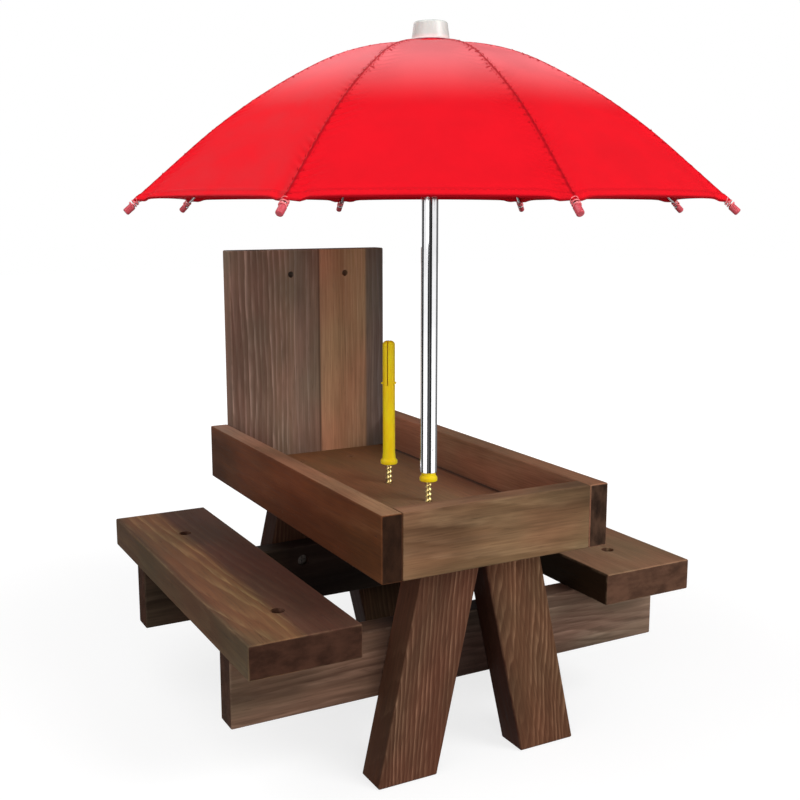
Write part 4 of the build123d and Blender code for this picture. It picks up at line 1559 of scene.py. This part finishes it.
@dataclass
class Studio:
    """Pale floor, white surroundings with dark boards for the chrome to reflect, soft lamps and camera."""

    lens: float = 49.736
    sensor_width: float = 36.0
    clip_start: float = 0.01
    camera_place: tuple[float, float, float] = (-0.31713, -0.55086, 0.30559)
    camera_yaw: float = radians(28.41)
    camera_pitch: float = radians(10.05)
    lamp_aim: tuple[float, float, float] = (0.0, 0.0, 0.2)
    surround: float = 0.30
    floor_size: float = 9.0
    floor_drop: float = 0.0002
    floor_tone: float = 0.30
    floor_glow: float = 0.76
    glow_reach: Range = (0.25, 0.9)
    boards: tuple = (
        (0.0, 0.15), (60.0, 1.0), (117.0, 0.02), (157.0, 1.0), (217.0, 0.02), (238.0, 0.16), (245.0, 0.02),
        (275.0, 1.0), (341.0, 0.15),
    )

    def seen(self, sheet: NodeSheet, way: Feed) -> tuple[Socket, Socket]:
        """Which rays see the white stage, and how bright it is: shiny surfaces also see the dark boards.

        Args:
            sheet: node tree to add to.
            way: direction from the pole.

        Returns:
            1 for rays from the camera, from mirrors and through glass and 0 for others, then the brightness.
        """
        path = sheet.add("ShaderNodeLightPath", {}).outputs
        glossy = path["Is Glossy Ray"]
        share = sheet.math("MAXIMUM", path["Is Camera Ray"], path["Is Transmission Ray"], glossy)
        right, back, _ = sheet.split(way)
        turn = sheet.math("DIVIDE", sheet.math("ARCTAN2", back, right), 2 * pi)
        stops = [(degrees / 360.0, tone) for degrees, tone in self.boards]
        tone = sheet.ramp(sheet.math("FRACT", sheet.math("ADD", turn, 1.0)), stops, stepped=True).outputs[0]
        loss = sheet.times(glossy, sheet.math("SUBTRACT", 1.0, tone))
        return share, sheet.math("SUBTRACT", 1.0, loss)

    def floor(self) -> None:
        """A pale floor that keeps the shadow near the object and fades to white."""
        plane = Workbench.add(bpy.ops.mesh.primitive_plane_add, "studio_floor", size=self.floor_size,
                              location=(0, 0, -self.floor_drop))
        sheet = NodeSheet("pale_floor")
        point = sheet.coordinates.outputs["Object"]
        share, level = self.seen(sheet, point)
        tone = sheet.times(level, self.floor_tone)
        sheet.surface(Base_Color=tone, Roughness=1.0, Specular_IOR_Level=0.0)
        distance = sheet.add("ShaderNodeVectorMath", {0: point}, operation="LENGTH").outputs["Value"]
        strength = sheet.times(sheet.remap(distance, *self.glow_reach, self.floor_glow, 1.0), share, level)
        glow = sheet.add("ShaderNodeEmission", {"Color": WHITE, "Strength": strength}).outputs[0]
        both = sheet.add("ShaderNodeAddShader", {0: sheet.shader.outputs[0], 1: glow}).outputs[0]
        sheet.feed(sheet.output.inputs["Surface"], both)
        dress(plane, sheet.material)

    def world(self) -> None:
        """White surroundings that light the object softly."""
        sky = SkySheet("studio_world")
        share, level = self.seen(sky, sky.coordinates.outputs["Generated"])
        extra = sky.times(share, sky.math("SUBTRACT", level, self.surround))
        strength = sky.math("ADD", extra, self.surround)
        light = sky.add("ShaderNodeBackground", {"Color": WHITE, "Strength": strength}).outputs[0]
        sky.feed(sky.output.inputs["Surface"], light)
        bpy.context.scene.world = sky.world

    def lamp(self, name: str, place: Sequence[float], size: float, power: float, shiny: bool = True) -> None:
        """A square soft lamp aimed at the middle of the object.

        Args:
            name: name of the lamp.
            place: where it stands.
            size: its side.
            power: its power in watts.
            shiny: true where shiny surfaces show the lamp itself.
        """
        data = bpy.data.lights.new(name, "AREA")
        data.size = size
        data.energy = power
        lamp = bpy.data.objects.new(name, data)
        lamp.location = place
        lamp.visible_glossy = shiny
        aim = Vector(self.lamp_aim) - Vector(place)
        lamp.rotation_euler = aim.to_track_quat("-Z", "Y").to_euler()
        bpy.context.scene.collection.objects.link(lamp)

    def camera(self) -> None:
        """A camera at the photograph's place and angle."""
        data = bpy.data.cameras.new("photo_camera")
        data.lens = self.lens
        data.sensor_width = self.sensor_width
        data.clip_start = self.clip_start
        camera = bpy.data.objects.new("photo_camera", data)
        camera.location = self.camera_place
        camera.rotation_euler = (pi / 2 - self.camera_pitch, 0.0, -self.camera_yaw)
        bpy.context.scene.collection.objects.link(camera)
        bpy.context.scene.camera = camera

    def build(self) -> None:
        """Sets the stage, the light and the camera."""
        self.floor()
        self.world()
        self.lamp("key_lamp", (0.72, -1.30, 1.24), size=0.9, power=19.0)
        self.lamp("front_lamp", (-0.35, -1.9, 0.45), size=0.8, power=13.0, shiny=False)
        self.lamp("fill_lamp", (-1.3, -0.9, 0.7), size=1.0, power=6.5)
        self.lamp("top_lamp", (-0.8, 0.2, 1.45), size=1.2, power=8.5)
        self.camera()
        bpy.context.scene.view_settings.view_transform = "Standard"


def main() -> None:
    """Builds the looks of the whole object."""
    logging.basicConfig(level=logging.INFO, format="%(name)s: %(message)s")
    for part in (Table(), Fasteners(), Pegs(), UmbrellaFrame(), Canopy(), Studio()):
        part.build()
        log.info("%s done", type(part).__name__)


if __name__ == "__main__":
    main()
